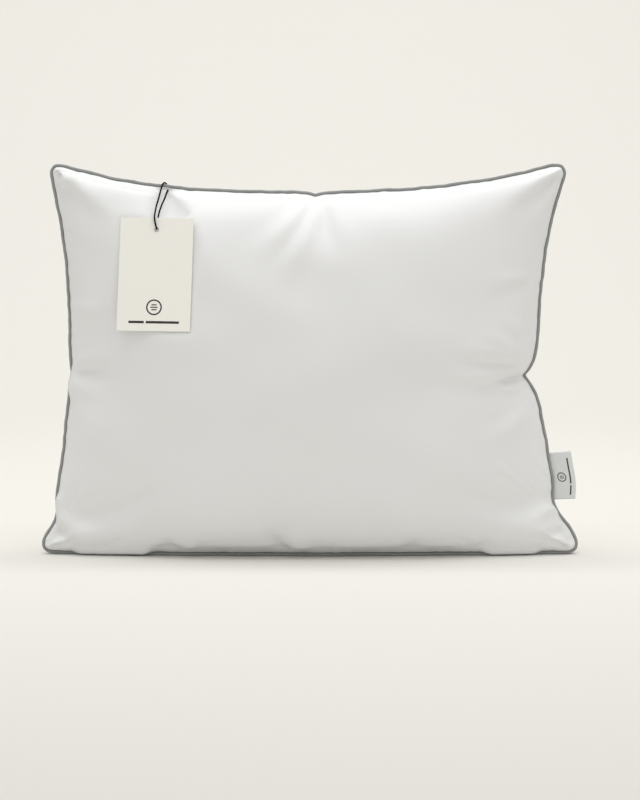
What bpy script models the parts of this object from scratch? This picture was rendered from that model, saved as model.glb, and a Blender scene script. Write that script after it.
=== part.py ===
"""Bed pillow: piped cushion casing with its filling, seam threads, side label and hang tag.

Metres, +Z up, front towards -Y. The pillow stands on its long edge with the floor at Z = 0.
"""

import math

import bmesh
import bpy
import numpy as np
from mathutils import Vector

# Outline of the piping's centre line, standing pillow
EARS_BOTTOM = 0.6855        # between the two bottom corner tips, before rounding
EARS_TOP = 0.6470           # between the two top corner tips, before rounding
EARS_TOP_SHIFT = -0.0020    # sideways lean of the top corners
HEIGHT = 0.4870             # top corner tips above the bottom seam
TOP_SAG = 0.0390            # how far each side is drawn in by the filling
LEFT_SAG = 0.0340
RIGHT_SAG = 0.0458
TOP_PINCH = 0.0040          # depth of the puckers halfway along the sides
LEFT_PINCH = 0.0050
RIGHT_PINCH = 0.0210
EAR_NECK = 0.0095           # how far the bottom ears are nipped in above their tips

# Body
HALF_DEPTH = 0.0920         # crown of each panel from the middle plane
EAR_PUFF = 0.0080           # least half depth just inside the seam
FORWARD = 0.0350            # how far the bottom seam sits in front of the middle plane
SINK = 0.0620               # how far the lower back panel settles onto the floor
FLOOR_ROW = 0.13            # share of the height that ends up flat on the floor

# Seam, all measured from the piping's centre line
CLOTH = 0.0006              # panel cloth thickness
GAP = 0.0003                # room between neighbouring pieces
PIPE_R = 0.0021             # outside of the piping cover
COVER = 0.00040             # bias strip thickness
FLANGE_W = 0.00055          # half width of the strip's two layers inside the seam
CORD_R = 0.00125            # filler cord inside the piping
ALLOWANCE = 0.0070          # raw edges of the seam
STITCH_U = 0.0048           # stitch line
THREAD_R = 0.00025          # sewing thread
SEAM_U = 0.0032             # where each panel leaves the seam
SEAM_W = FLANGE_W + 2 * GAP + 1.5 * CLOTH + 2 * THREAD_R - 0.00005
EAR_ROOM = 0.0195           # room in a rounded corner beyond the raw edges
CORNER_REACH = ALLOWANCE + EAR_ROOM     # where a rounded corner leaves each side

# Side label
LABEL_LOW = 0.0670          # lower end above the floor
LABEL_LONG = 0.0580
LABEL_OUT = 0.0295          # how far it stands out from the piping's centre
LABEL_CLOTH = 0.00025
LABEL_GAP = 0.00015         # between its two layers
LABEL_HINGE = (0.0, -PIPE_R - 0.0008)   # where it bends behind the piping
LABEL_LIFT = 0.0012         # extra room it takes in the seam

# Hang tag
TAG_WIDE = 0.0910
TAG_TALL = 0.1410
TAG_THICK = 0.0006
TAG_HOLE_R = 0.0030
TAG_HOLE_DROP = 0.0150      # hole centre below the top edge
TAG_HOLE_AT = (-0.1870, -0.0454, 0.4040)
TAG_TILT = -0.5             # degrees of turn within its own plane
TAG_PITCH = 14.0            # degrees, bottom edge towards the front
TAG_YAW = 8.0               # degrees, left edge towards the back
STRING_R = 0.0008
STRING_HINGE = (-0.1790, 0.0, 0.4566)   # piping centre under the string
PIERCE_R = 0.0011           # hole that the string makes through the seam
PIERCE_AT = (-0.1765, 0.4476)   # X and Z of that hole
STRING_POINTS = [
    (-0.1870, -0.0434, 0.4062),
    (-0.1870, -0.0455, 0.4052),
    (-0.1872, -0.0472, 0.4059),
    (-0.1882, -0.0470, 0.4095),
    (-0.1892, -0.0456, 0.4135),
    (-0.1898, -0.0436, 0.4205),
    (-0.1882, -0.0350, 0.4320),
    (-0.1856, -0.0254, 0.4430),
    (-0.1840, -0.0140, 0.4520),
    (-0.1818, -0.0034, 0.4598),
    (-0.1796, 0.0002, 0.4609),
    (-0.1782, 0.0039, 0.4584),
    (-0.1772, 0.0080, 0.4542),
    (-0.1766, 0.0134, 0.4504),
    (-0.1765, 0.0146, 0.4479),
    (-0.1765, 0.0090, 0.4476),
    (-0.1765, -0.0110, 0.4476),
    (-0.1768, -0.0176, 0.4474),
    (-0.1774, -0.0222, 0.4446),
    (-0.1790, -0.0272, 0.4405),
    (-0.1818, -0.0310, 0.4345),
    (-0.1840, -0.0348, 0.4270),
    (-0.1854, -0.0385, 0.4210),
    (-0.1864, -0.0404, 0.4140),
    (-0.1869, -0.0418, 0.4098),
]

# Mesh fineness
CELLS_X = 24
CELLS_Z = 16
EDGE_CROWD = 0.6            # 1 crowds the rows fully towards the seam, 0 spaces them evenly
FILL_FROM = (1, 2)          # columns and rows of the grid that the seam allowance takes up
PIPE_SIDES = 6
STRING_STEP = 0.0030

FRONT = -1.0
BACK = 1.0


def clear_scene():
    for obj in list(bpy.data.objects):
        bpy.data.objects.remove(obj, do_unlink=True)


def material(name, colour, roughness, sheen=0.0):
    made = bpy.data.materials.new(name)
    made.use_nodes = True
    shader = made.node_tree.nodes["Principled BSDF"]
    shader.inputs["Base Color"].default_value = (*colour, 1.0)
    shader.inputs["Roughness"].default_value = roughness
    shader.inputs["Sheen Weight"].default_value = sheen
    made.diffuse_color = (*colour, 1.0)
    return made


# ---------------------------------------------------------------- outline

def tip(right, top):
    """Sharp corner of the outline, in X and Z."""
    half = (EARS_TOP if top else EARS_BOTTOM) / 2
    shift = EARS_TOP_SHIFT if top else 0.0
    return np.array([(half if right else -half) + shift, PIPE_R + (HEIGHT if top else 0.0)])


def swell(t, low, high):
    """0 at both ends of a side and 1 in its middle."""
    q = 2 * t - 1
    return 1 - abs(q) ** (low if q < 0 else high)


def pinch(t, at, wide):
    return math.exp(-abs(t - at) / wide)


def neck(t, at, wide):
    return math.exp(-0.5 * ((t - at) / wide) ** 2)


def drawn_in(side, t):
    """How far the seam is pulled towards the middle, at t along a side."""
    if side == "top":
        return TOP_SAG * swell(t, 2.9, 2.5) + TOP_PINCH * pinch(t, PINCH_AT[side], 0.02)
    if side == "right":
        body = RIGHT_SAG * swell(t, 3.0, 2.2) + EAR_NECK * neck(t, 0.12, 0.035)
        return body + RIGHT_PINCH * pinch(t, PINCH_AT[side], 0.045)
    if side == "left":
        body = LEFT_SAG * swell(t, 3.0, 2.2) + EAR_NECK * neck(t, 0.09, 0.032)
        return body + LEFT_PINCH * pinch(t, PINCH_AT[side], 0.04)
    return 0.0


PINCH_AT = {"bottom": 0.5, "right": 0.452, "top": 0.513, "left": 0.46}
# For each side: its first and last corner as (right, top), and the way towards the middle
SIDE_RUN = {
    "bottom": ((False, False), (True, False), (0.0, 1.0)),
    "top": ((False, True), (True, True), (0.0, -1.0)),
    "left": ((False, False), (False, True), (1.0, 0.0)),
    "right": ((True, False), (True, True), (-1.0, 0.0)),
}


def sharp_point(side, t):
    first, last, inward = SIDE_RUN[side]
    a, b = tip(*first), tip(*last)
    return a + (b - a) * t + np.array(inward) * drawn_in(side, t)


def reach(side):
    first, last, _ = SIDE_RUN[side]
    return CORNER_REACH / np.linalg.norm(tip(*last) - tip(*first))


def side_at(corner, side):
    """The other side that ends in this corner, and its t there."""
    for other, (first, last, _) in SIDE_RUN.items():
        if other != side and corner in (first, last):
            return other, (0.0 if corner == first else 1.0)
    raise ValueError(corner)


def arc(a, c, b, s):
    return (1 - s) ** 2 * a + 2 * s * (1 - s) * c + s * s * b


def outline_point(side, t):
    """Point of the piping's centre line, with the corners rounded."""
    first, last, _ = SIDE_RUN[side]
    cut = reach(side)
    for corner, from_corner in ((first, t), (last, 1 - t)):
        if from_corner < cut:
            other, end = side_at(corner, side)
            far = sharp_point(other, abs(end - reach(other)))
            near = sharp_point(side, cut if corner == first else 1 - cut)
            return arc(far, tip(*corner), near, 0.5 + 0.5 * from_corner / cut)
    return sharp_point(side, t)


# ---------------------------------------------------------------- grid and seam frame

def spaced(cells):
    """Row positions from 0 to 1, crowded towards both ends."""
    even = np.linspace(0, 1, cells + 1)
    crowded = 0.5 - 0.5 * np.cos(math.pi * even)
    return EDGE_CROWD * crowded + (1 - EDGE_CROWD) * even


S = spaced(CELLS_X)
T = spaced(CELLS_Z)


def forward_shift(s, t):
    """Y of the middle plane: the bottom seam sits forward of it."""
    return -FORWARD * (1 - t) ** 4 * (1 - 0.6 * (2 * s - 1) ** 2)


def ring_cells():
    """Grid places (i, j) of the seam, anticlockwise seen from the front."""
    low = [(i, 0) for i in range(CELLS_X)]
    right = [(CELLS_X, j) for j in range(CELLS_Z)]
    high = [(i, CELLS_Z) for i in range(CELLS_X, 0, -1)]
    left = [(0, j) for j in range(CELLS_Z, 0, -1)]
    return low + right + high + left


def seam_point(i, j):
    """Piping centre at a grid place of the edge."""
    if j in (0, CELLS_Z):
        side, at = ("bottom" if j == 0 else "top"), S[i]
    else:
        side, at = ("left" if i == 0 else "right"), T[j]
    x, z = outline_point(side, station(side, at))
    return np.array([x, forward_shift(S[i], T[j]), z])


class Seam:
    """The closed seam line with a frame at each of its stations."""

    def __init__(self):
        self.cells = ring_cells()
        self.centre = np.array([seam_point(i, j) for i, j in self.cells])
        along = np.roll(self.centre, -1, axis=0) - np.roll(self.centre, 1, axis=0)
        self.along = along / np.linalg.norm(along, axis=1)[:, None]
        flat = np.stack([-self.along[:, 2], 0 * self.along[:, 1], self.along[:, 0]], axis=1)
        lean = np.array([0.35 * (1 - T[j]) ** 4 * (1 - (2 * S[i] - 1) ** 6)
                         for i, j in self.cells])
        inward = flat + lean[:, None] * np.array([0.0, 1.0, 0.0])
        for _ in range(2):
            inward = 0.5 * inward + 0.25 * (np.roll(inward, 1, axis=0) + np.roll(inward, -1, axis=0))
            inward /= np.linalg.norm(inward, axis=1)[:, None]
        self.inward = inward
        self.front = np.cross(self.inward, self.along)
        self.front /= np.linalg.norm(self.front, axis=1)[:, None]
        self.front *= -np.sign(self.front[:, 1])[:, None]
        self.lift = np.array([self.label_room(point) for point in self.centre])

    @staticmethod
    def label_room(point):
        """Extra room in the back layers where the side label is sewn in."""
        low, high = LABEL_LOW - 0.045, LABEL_LOW + LABEL_LONG + 0.045
        return LABEL_LIFT if point[0] > 0.25 and low < point[2] < high else 0.0

    def at(self, u, w, lifted=False):
        """Ring of points u inward and w towards the front from the piping's centre."""
        rise = self.lift if lifted else 0 * self.lift
        return self.centre + u * self.inward + (w - rise)[:, None] * self.front


def body_depth(s, t, way):
    """Height of a panel above the seam's own width."""
    q, r = abs(2 * s - 1), 2 * t - 1
    across = (1 - q ** 2.4) ** 0.75
    low = 0.66 if way == FRONT else 0.60
    up = (1 - abs(r) ** 2.2) ** (low if r < 0 else 0.75)
    rim = (1 - q ** 40) ** 0.5 * (1 - abs(r) ** 40) ** 0.5
    return (HALF_DEPTH - SEAM_W - EAR_PUFF) * across * up + EAR_PUFF * rim


def smooth(low, high, x):
    q = min(max((x - low) / (high - low), 0.0), 1.0)
    return q * q * (3 - 2 * q)


def station(side, at):
    """t along a side for a row position, so that the middle row meets the pinch."""
    return at + (PINCH_AT[side] - 0.5) * 4 * at * (1 - at)


def inner_side(side, at):
    """Sharp-cornered outline just inside the seam, which spans the middle sheet."""
    inward = np.array(SIDE_RUN[side][2])
    x, z = sharp_point(side, station(side, at)) + SEAM_U * inward
    return np.array([x, 0.0, z])


def base_grid():
    """Middle sheet that spans the seam line."""
    low = [inner_side("bottom", s) for s in S]
    high = [inner_side("top", s) for s in S]
    left = [inner_side("left", t) for t in T]
    right = [inner_side("right", t) for t in T]
    grid = np.zeros((CELLS_X + 1, CELLS_Z + 1, 3))
    for i, s in enumerate(S):
        for j, t in enumerate(T):
            across = (1 - t) * low[i] + t * high[i]
            upward = (1 - s) * left[j] + s * right[j]
            corners = (1 - s) * ((1 - t) * low[0] + t * high[0])
            corners = corners + s * ((1 - t) * low[-1] + t * high[-1])
            grid[i, j] = across + upward - corners
            grid[i, j, 1] = forward_shift(s, t)
    return grid


def skin_grid(seam, base, way):
    """Middle surface of one panel; way is FRONT or BACK."""
    grid = base.copy()
    for i, s in enumerate(S):
        for j, t in enumerate(T):
            grid[i, j, 1] += way * (SEAM_W + body_depth(s, t, way))
            if way == BACK:
                settle = SINK * (1 - smooth(FLOOR_ROW, 0.7, t)) * (1 - abs(2 * s - 1) ** 6)
                grid[i, j, 2] = max(grid[i, j, 2] - settle, CLOTH / 2)
    edge = seam.at(SEAM_U, -way * SEAM_W + np.zeros(len(seam.cells)), lifted=way == BACK)
    for cell, point in zip(seam.cells, edge):
        grid[cell] = point
    return grid


def grid_normals(grid, way):
    """Outward normals of a panel's middle surface."""
    normal = np.zeros_like(grid)
    a = grid[1:, 1:] - grid[:-1, :-1]
    b = grid[:-1, 1:] - grid[1:, :-1]
    face = np.cross(a, b)
    face *= way
    for di in (0, 1):
        for dj in (0, 1):
            normal[di:di + CELLS_X, dj:dj + CELLS_Z] += face
    normal /= np.linalg.norm(normal, axis=2)[..., None]
    middle = normal[CELLS_X // 2, CELLS_Z // 2]
    return normal * (np.sign(middle[1]) * way)


def offset_grid(grid, normal, by):
    """Grid moved outward by a distance, kept exactly flat where it lies on the floor."""
    moved = grid + by * normal
    flat = np.abs(grid[..., 2] - CLOTH / 2) < 1e-7
    moved[..., 2] = np.where(flat, CLOTH / 2 - by, moved[..., 2])
    return moved


# ---------------------------------------------------------------- meshes

class Shell:
    """Collects vertices and faces, then makes one closed object."""

    def __init__(self):
        self.points = []
        self.faces = []

    def add(self, points):
        start = len(self.points)
        self.points.extend([tuple(point) for point in points])
        return list(range(start, start + len(points)))

    def strip(self, ring_a, ring_b):
        """Triangles between two closed rings, all split the same way."""
        count = len(ring_a)
        for k in range(count):
            m = (k + 1) % count
            self.faces.append((ring_a[k], ring_a[m], ring_b[m]))
            self.faces.append((ring_a[k], ring_b[m], ring_b[k]))

    def sheet(self, index, low_i, high_i, low_j, high_j):
        """Triangles over a grid of vertex numbers, all split the same way."""
        for i in range(low_i, high_i):
            for j in range(low_j, high_j):
                a, b = index[i][j], index[i + 1][j]
                c, d = index[i + 1][j + 1], index[i][j + 1]
                self.faces.append((a, b, c))
                self.faces.append((a, c, d))

    def build(self, name, finish, smooth_faces=True):
        mesh = bpy.data.meshes.new(name)
        mesh.from_pydata(self.points, [], self.faces)
        mesh.update()
        work = bmesh.new()
        work.from_mesh(mesh)
        bmesh.ops.recalc_face_normals(work, faces=work.faces)
        if work.calc_volume(signed=True) < 0:
            bmesh.ops.reverse_faces(work, faces=work.faces)
        work.to_mesh(mesh)
        work.free()
        for polygon in mesh.polygons:
            polygon.use_smooth = smooth_faces
        mesh.materials.append(finish)
        obj = bpy.data.objects.new(name, mesh)
        bpy.context.scene.collection.objects.link(obj)
        return obj


def swept_ring(name, seam, section, finish, lifted=False):
    """Closed band around the whole seam; section is a loop of (u, w) points."""
    shell = Shell()
    rings = []
    for u, w in section:
        up = lifted and w < 0
        width = np.full(len(seam.cells), w)
        rings.append(shell.add(seam.at(u, width, lifted=up)))
    for k, ring in enumerate(rings):
        shell.strip(ring, rings[(k + 1) % len(rings)])
    return shell.build(name, finish)


def make_panel(name, seam, grid, way, finish):
    """Panel cloth: bulging skin, fold beside the piping and the allowance inside."""
    normal = grid_normals(grid, way)
    shell = Shell()
    sides = []
    for by in (CLOTH / 2, -CLOTH / 2):
        moved = offset_grid(grid, normal, by)
        index = [shell.add(column) for column in moved]
        shell.sheet(index, 0, CELLS_X, 0, CELLS_Z)
        sides.append([index[i][j] for i, j in seam.cells])
    face_w = FLANGE_W + GAP
    fold = [
        (0.0025, 0.0016),
        (0.0032, face_w),
        (ALLOWANCE, face_w),
        (ALLOWANCE, face_w + CLOTH),
        (0.0036, face_w + CLOTH),
        (0.0033, 0.00175),
    ]
    rings = [sides[0]]
    for u, w in fold:
        width = np.full(len(seam.cells), -way * w)
        rings.append(shell.add(seam.at(u, width, lifted=way == BACK)))
    rings.append(sides[1])
    for a, b in zip(rings, rings[1:]):
        shell.strip(a, b)
    return shell.build(name, finish)


def make_fill(front, back, finish):
    """Fibre filling, just inside both panels and clear of the seam allowance."""
    room = CLOTH / 2 + GAP
    fi, fj = FILL_FROM
    li, lj = CELLS_X - fi, CELLS_Z - fj
    shell = Shell()
    rims = []
    spots = []
    for grid, way in ((front, FRONT), (back, BACK)):
        moved = offset_grid(grid, grid_normals(grid, way), -room)
        index = [shell.add(column) for column in moved]
        shell.sheet(index, fi, li, fj, lj)
        rims.append(index)
        spots.append(moved)
    cells = [(i, fj) for i in range(fi, li)] + [(li, j) for j in range(fj, lj)]
    cells += [(i, lj) for i in range(li, fi, -1)] + [(fi, j) for j in range(lj, fj, -1)]
    centres = (spots[0] + spots[1]) / 2
    nose = [centres[cell] for cell in cells]
    ring = shell.add(nose)
    shell.strip([rims[0][i][j] for i, j in cells], ring)
    shell.strip(ring, [rims[1][i][j] for i, j in cells])
    used = sorted({vertex for face in shell.faces for vertex in face})
    renumber = {old: new for new, old in enumerate(used)}
    shell.points = [shell.points[old] for old in used]
    shell.faces = [tuple(renumber[vertex] for vertex in face) for face in shell.faces]
    return shell.build("fibre_fill", finish)


def piping_section():
    """Loop of the bias strip round the cord, with both edges running into the seam."""
    half = FLANGE_W
    thin = half - COVER + 0.00005
    loop = [(ALLOWANCE, half)]
    for radius, level, turn in ((PIPE_R, half, 1), (PIPE_R - COVER, thin, -1)):
        start = math.asin(level / radius)
        angles = np.linspace(start, 2 * math.pi - start, PIPE_SIDES + 1)[::turn]
        arc_points = [(radius * math.cos(a), radius * math.sin(a)) for a in angles]
        if turn == 1:
            loop += arc_points + [(ALLOWANCE, -half), (ALLOWANCE, -thin)]
        else:
            loop += arc_points + [(ALLOWANCE, thin)]
    return loop


def round_section(u, w, radius, sides):
    angles = [2 * math.pi * k / sides for k in range(sides)]
    return [(u + radius * math.cos(a), w + radius * math.sin(a)) for a in angles]


def pierce(obj, cutter):
    cut = obj.modifiers.new("string_hole", "BOOLEAN")
    cut.operation = "DIFFERENCE"
    cut.solver = "EXACT"
    cut.object = cutter


def make_cutter():
    """Round hole through the seam for the tag string."""
    work = bmesh.new()
    bmesh.ops.create_cone(
        work, cap_ends=True, segments=12, radius1=PIERCE_R, radius2=PIERCE_R, depth=0.040
    )
    mesh = bpy.data.meshes.new("string_hole_cutter")
    work.to_mesh(mesh)
    work.free()
    obj = bpy.data.objects.new("string_hole_cutter", mesh)
    obj.rotation_euler = (math.pi / 2, 0, 0)
    obj.location = (PIERCE_AT[0], 0.0, PIERCE_AT[1])
    obj.hide_render = True
    obj.display_type = "WIRE"
    bpy.context.scene.collection.objects.link(obj)
    return obj


def seam_spot(seam, z):
    """Frame on the right side's seam at a height, between two stations."""
    right = [k for k, (i, j) in enumerate(seam.cells) if i == CELLS_X and 0 < j < CELLS_Z]
    for a, b in zip(right, right[1:]):
        za, zb = seam.centre[a][2], seam.centre[b][2]
        if za <= z <= zb:
            f = (z - za) / (zb - za)
            centre = (1 - f) * seam.centre[a] + f * seam.centre[b]
            inward = (1 - f) * seam.inward[a] + f * seam.inward[b]
            front = (1 - f) * seam.front[a] + f * seam.front[b]
            return centre, inward, front
    raise ValueError(z)


def make_label(seam, finish):
    """Folded ribbon sewn between the back panel and the piping."""
    in_seam = FLANGE_W + GAP + LABEL_CLOTH + LABEL_GAP / 2
    middle = [
        (ALLOWANCE - 0.0004, -in_seam),
        (0.0036, -in_seam),
        (0.0017, -PIPE_R - 0.0003),
        LABEL_HINGE,
        (-0.0040, -PIPE_R - 0.0005),
        (-LABEL_OUT + 0.0006, -0.0012),
    ]
    outer = LABEL_CLOTH + LABEL_GAP / 2
    inner = LABEL_GAP / 2
    lines = {}
    for by in (outer, inner, -inner, -outer):
        line = []
        for k, (u, w) in enumerate(middle):
            a = middle[max(k - 1, 0)]
            b = middle[min(k + 1, len(middle) - 1)]
            du, dw = b[0] - a[0], b[1] - a[1]
            size = math.hypot(du, dw)
            line.append((u + by * dw / size, w - by * du / size))
        lines[by] = line
    nose_w = middle[-1][1]
    section = lines[outer] + [(-LABEL_OUT, nose_w)] + lines[-outer][::-1]
    section += lines[-inner] + lines[inner][::-1]
    shell = Shell()
    heights = [LABEL_LOW, LABEL_LOW + LABEL_LONG / 2, LABEL_LOW + LABEL_LONG]
    breaks = [z for z in seam.centre[:, 2] if heights[0] < z < heights[-1]]
    right = [p[2] for p, c in zip(seam.centre, seam.cells) if c[0] == CELLS_X]
    heights = [heights[0]] + sorted(z for z in breaks if z in right) + [heights[-1]]
    middle_spot, inward, front = seam_spot(seam, LABEL_LOW + LABEL_LONG / 2)
    hinge = middle_spot + LABEL_HINGE[0] * inward + LABEL_HINGE[1] * front
    rings = []
    for z in heights:
        centre, inward, front = seam_spot(seam, z)
        spots = [centre + u * inward + w * front - hinge for u, w in section]
        rings.append(shell.add(spots))
    for a, b in zip(rings, rings[1:]):
        shell.strip(a, b)
    count = len(middle)
    for ring in (rings[0], rings[-1]):
        front_out = ring[:count]
        nose = ring[count]
        back_out = ring[count + 1:2 * count + 1][::-1]
        back_in = ring[2 * count + 1:3 * count + 1]
        front_in = ring[3 * count + 1:][::-1]
        for k in range(count - 1):
            shell.faces.append((front_out[k], front_out[k + 1], front_in[k + 1], front_in[k]))
            shell.faces.append((back_out[k], back_out[k + 1], back_in[k + 1], back_in[k]))
        shell.faces.append((front_out[-1], nose, back_out[-1], back_in[-1], front_in[-1]))
    obj = shell.build("side_label", finish, smooth_faces=False)
    obj.location = hinge
    return obj


def tag_axes():
    """Right, down and front directions of the hanging card."""
    tilt, pitch, yaw = (math.radians(a) for a in (TAG_TILT, TAG_PITCH, TAG_YAW))
    right = Vector((math.cos(yaw), -math.sin(yaw), 0.0))
    down = Vector((0.0, -math.sin(pitch), -math.cos(pitch)))
    front = down.cross(right).normalized()
    if front.y > 0:
        front = -front
    down = front.cross(right).normalized()
    if down.z > 0:
        down = -down
    turned_right = right * math.cos(tilt) + down * -math.sin(tilt)
    turned_down = down * math.cos(tilt) + right * -math.sin(tilt)
    return turned_right, turned_down, front


def card_object(finish):
    """Card as a bevel-free plate with the hole cut by its outline."""
    right, down, front = tag_axes()
    half = TAG_WIDE / 2
    top, low = -TAG_HOLE_DROP, TAG_TALL - TAG_HOLE_DROP
    outer = [(half, 0.0), (half, low), (0.0, low), (-half, low), (-half, 0.0), (-half, top)]
    outer += [(0.0, top), (half, top)]
    per = 2
    segments = per * len(outer)
    start = math.atan2(outer[0][1], outer[0][0])
    hole = []
    for k in range(segments):
        a = start + 2 * math.pi * k / segments
        hole.append((TAG_HOLE_R * math.cos(a), TAG_HOLE_R * math.sin(a)))
    shell = Shell()
    layers = {}
    for side in (1, -1):
        shift = front * (side * TAG_THICK / 2)
        rim = shell.add([right * x + down * y + shift for x, y in outer])
        eye = shell.add([right * x + down * y + shift for x, y in hole])
        layers[side] = (rim, eye)
        for k in range(len(outer)):
            m = (k + 1) % len(outer)
            a, b, c = eye[per * k], eye[per * k + 1], eye[(per * k + 2) % segments]
            shell.faces.append((rim[k], rim[m], c, b, a))
    shell.strip(layers[1][0], layers[-1][0])
    shell.strip(layers[1][1], layers[-1][1])
    obj = shell.build("hang_tag", finish, smooth_faces=False)
    obj.location = TAG_HOLE_AT
    return obj


def smooth_line(points, step):
    """Even points along a Catmull-Rom curve through the given ones."""
    spots = [Vector(p) for p in points]
    dense = [spots[0]]
    for k in range(len(spots) - 1):
        p0 = spots[max(k - 1, 0)]
        p1, p2 = spots[k], spots[k + 1]
        p3 = spots[min(k + 2, len(spots) - 1)]
        for n in range(1, 21):
            t = n / 20
            a = 2 * p1 + (p2 - p0) * t
            b = (2 * p0 - 5 * p1 + 4 * p2 - p3) * t * t
            c = (3 * p1 - p0 - 3 * p2 + p3) * t ** 3
            dense.append((a + b + c) / 2)
    lengths = [0.0]
    for a, b in zip(dense, dense[1:]):
        lengths.append(lengths[-1] + (b - a).length)
    count = max(2, round(lengths[-1] / step))
    line = []
    k = 0
    for n in range(count + 1):
        want = lengths[-1] * n / count
        while k < len(lengths) - 2 and lengths[k + 1] < want:
            k += 1
        f = (want - lengths[k]) / (lengths[k + 1] - lengths[k])
        line.append(dense[k].lerp(dense[k + 1], f))
    return line


def make_string(finish):
    """Tag string from the card's hole over the piping, through the seam and back."""
    curve = bpy.data.curves.new("tag_string", "CURVE")
    curve.dimensions = "3D"
    curve.bevel_depth = STRING_R
    curve.bevel_resolution = 2
    curve.use_fill_caps = True
    line = smooth_line(STRING_POINTS, STRING_STEP)
    spline = curve.splines.new("POLY")
    spline.points.add(len(line) - 1)
    for point, spot in zip(spline.points, line):
        point.co = (*(spot - Vector(STRING_HINGE)), 1.0)
    curve.materials.append(finish)
    obj = bpy.data.objects.new("tag_string", curve)
    obj.location = STRING_HINGE
    bpy.context.scene.collection.objects.link(obj)
    return obj


def main():
    clear_scene()
    cotton = material("white_cotton", (0.86, 0.86, 0.85), 0.62, 0.2)
    cotton_back = material("white_cotton_back", (0.86, 0.86, 0.85), 0.62, 0.2)
    grey = material("grey_piping", (0.20, 0.21, 0.205), 0.75, 0.1)
    filler = material("filler_cord", (0.75, 0.73, 0.68), 0.9)
    needle = material("needle_thread", (0.82, 0.82, 0.80), 0.6)
    bobbin = material("bobbin_thread", (0.80, 0.80, 0.78), 0.6)
    overlock = material("overlock_thread", (0.84, 0.84, 0.82), 0.7)
    fibre = material("polyester_fibre", (0.93, 0.93, 0.92), 0.95)
    satin = material("label_satin", (0.72, 0.73, 0.73), 0.4)
    card = material("cream_card", (0.80, 0.77, 0.70), 0.7)
    black = material("black_string", (0.02, 0.02, 0.02), 0.7)

    seam = Seam()
    base = base_grid()
    front = skin_grid(seam, base, FRONT)
    back = skin_grid(seam, base, BACK)
    panels = [
        make_panel("front_panel", seam, front, FRONT, cotton),
        make_panel("back_panel", seam, back, BACK, cotton_back),
    ]
    swept_ring("piping_cover", seam, piping_section(), grey)
    swept_ring("piping_cord", seam, round_section(0.0, 0.0, CORD_R, 6), filler)
    away = FLANGE_W + GAP + CLOTH + GAP + THREAD_R
    stitch = round_section(STITCH_U, away, THREAD_R, 4)
    swept_ring("needle_thread", seam, stitch, needle)
    stitch = round_section(STITCH_U, -away, THREAD_R, 4)
    swept_ring("bobbin_thread", seam, stitch, bobbin, lifted=True)
    inside = FLANGE_W + GAP + CLOTH + GAP
    wrap = [
        (ALLOWANCE - 0.0014, inside),
        (ALLOWANCE + GAP, inside),
        (ALLOWANCE + GAP, -inside),
        (ALLOWANCE - 0.0014, -inside),
        (ALLOWANCE - 0.0014, -inside - 2 * THREAD_R),
        (ALLOWANCE + GAP + 2 * THREAD_R, -inside - 2 * THREAD_R),
        (ALLOWANCE + GAP + 2 * THREAD_R, inside + 2 * THREAD_R),
        (ALLOWANCE - 0.0014, inside + 2 * THREAD_R),
    ]
    swept_ring("overlock_thread", seam, wrap, overlock, lifted=True)
    make_fill(front, back, fibre)
    make_label(seam, satin)
    card_object(card)
    make_string(black)
    cutter = make_cutter()
    for obj in panels:
        pierce(obj, cutter)


main()
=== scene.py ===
"""Bed pillow with a piped seam, standing on its long edge.

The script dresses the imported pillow: it inflates two cloth panels along one seam line, wraps
the piping, lays the seam threads, hangs the card on its string and sets a plain studio.
Metres, +Z up, front towards -Y.
"""

from __future__ import annotations

import logging
import math
from dataclasses import dataclass, field
from enum import Enum

import bmesh
import bpy
import numpy as np
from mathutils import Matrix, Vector


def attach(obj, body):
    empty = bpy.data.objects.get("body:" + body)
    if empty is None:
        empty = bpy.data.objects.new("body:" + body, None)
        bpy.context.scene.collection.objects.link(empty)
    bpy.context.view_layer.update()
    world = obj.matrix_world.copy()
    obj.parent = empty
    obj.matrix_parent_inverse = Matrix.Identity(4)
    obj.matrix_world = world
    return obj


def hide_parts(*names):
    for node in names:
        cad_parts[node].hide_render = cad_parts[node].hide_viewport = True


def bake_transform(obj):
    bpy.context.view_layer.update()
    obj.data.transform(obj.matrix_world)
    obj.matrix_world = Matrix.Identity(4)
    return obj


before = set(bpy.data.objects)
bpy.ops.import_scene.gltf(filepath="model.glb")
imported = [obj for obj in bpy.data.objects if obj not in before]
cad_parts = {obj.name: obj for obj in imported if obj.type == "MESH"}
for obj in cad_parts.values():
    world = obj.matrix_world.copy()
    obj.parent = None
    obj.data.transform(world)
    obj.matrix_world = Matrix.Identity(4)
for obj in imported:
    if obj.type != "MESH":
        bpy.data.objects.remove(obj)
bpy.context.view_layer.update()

LOG = logging.getLogger("pillow")
NODES_PER_COLUMN = 220


class Side(Enum):
    """The four sides of the seam."""

    BOTTOM = "bottom"
    RIGHT = "right"
    TOP = "top"
    LEFT = "left"


class Face(Enum):
    """Which panel a piece belongs to; the value is its way along Y."""

    FRONT = -1.0
    BACK = 1.0


# ------------------------------------------------------------------ small maths


def smooth(low: float, high: float, x: np.ndarray) -> np.ndarray:
    """Ease from 0 at low to 1 at high.

    Args:
        low: where the rise starts.
        high: where it ends; it may be below low for a fall.
        x: places to read.

    Returns:
        Values from 0 to 1.
    """
    q = np.clip((np.asarray(x, float) - low) / (high - low), 0.0, 1.0)
    return q * q * (3 - 2 * q)


def unit(rows: np.ndarray) -> np.ndarray:
    """Rows of vectors scaled to length 1."""
    return rows / np.maximum(np.linalg.norm(rows, axis=-1, keepdims=True), 1e-12)


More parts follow.
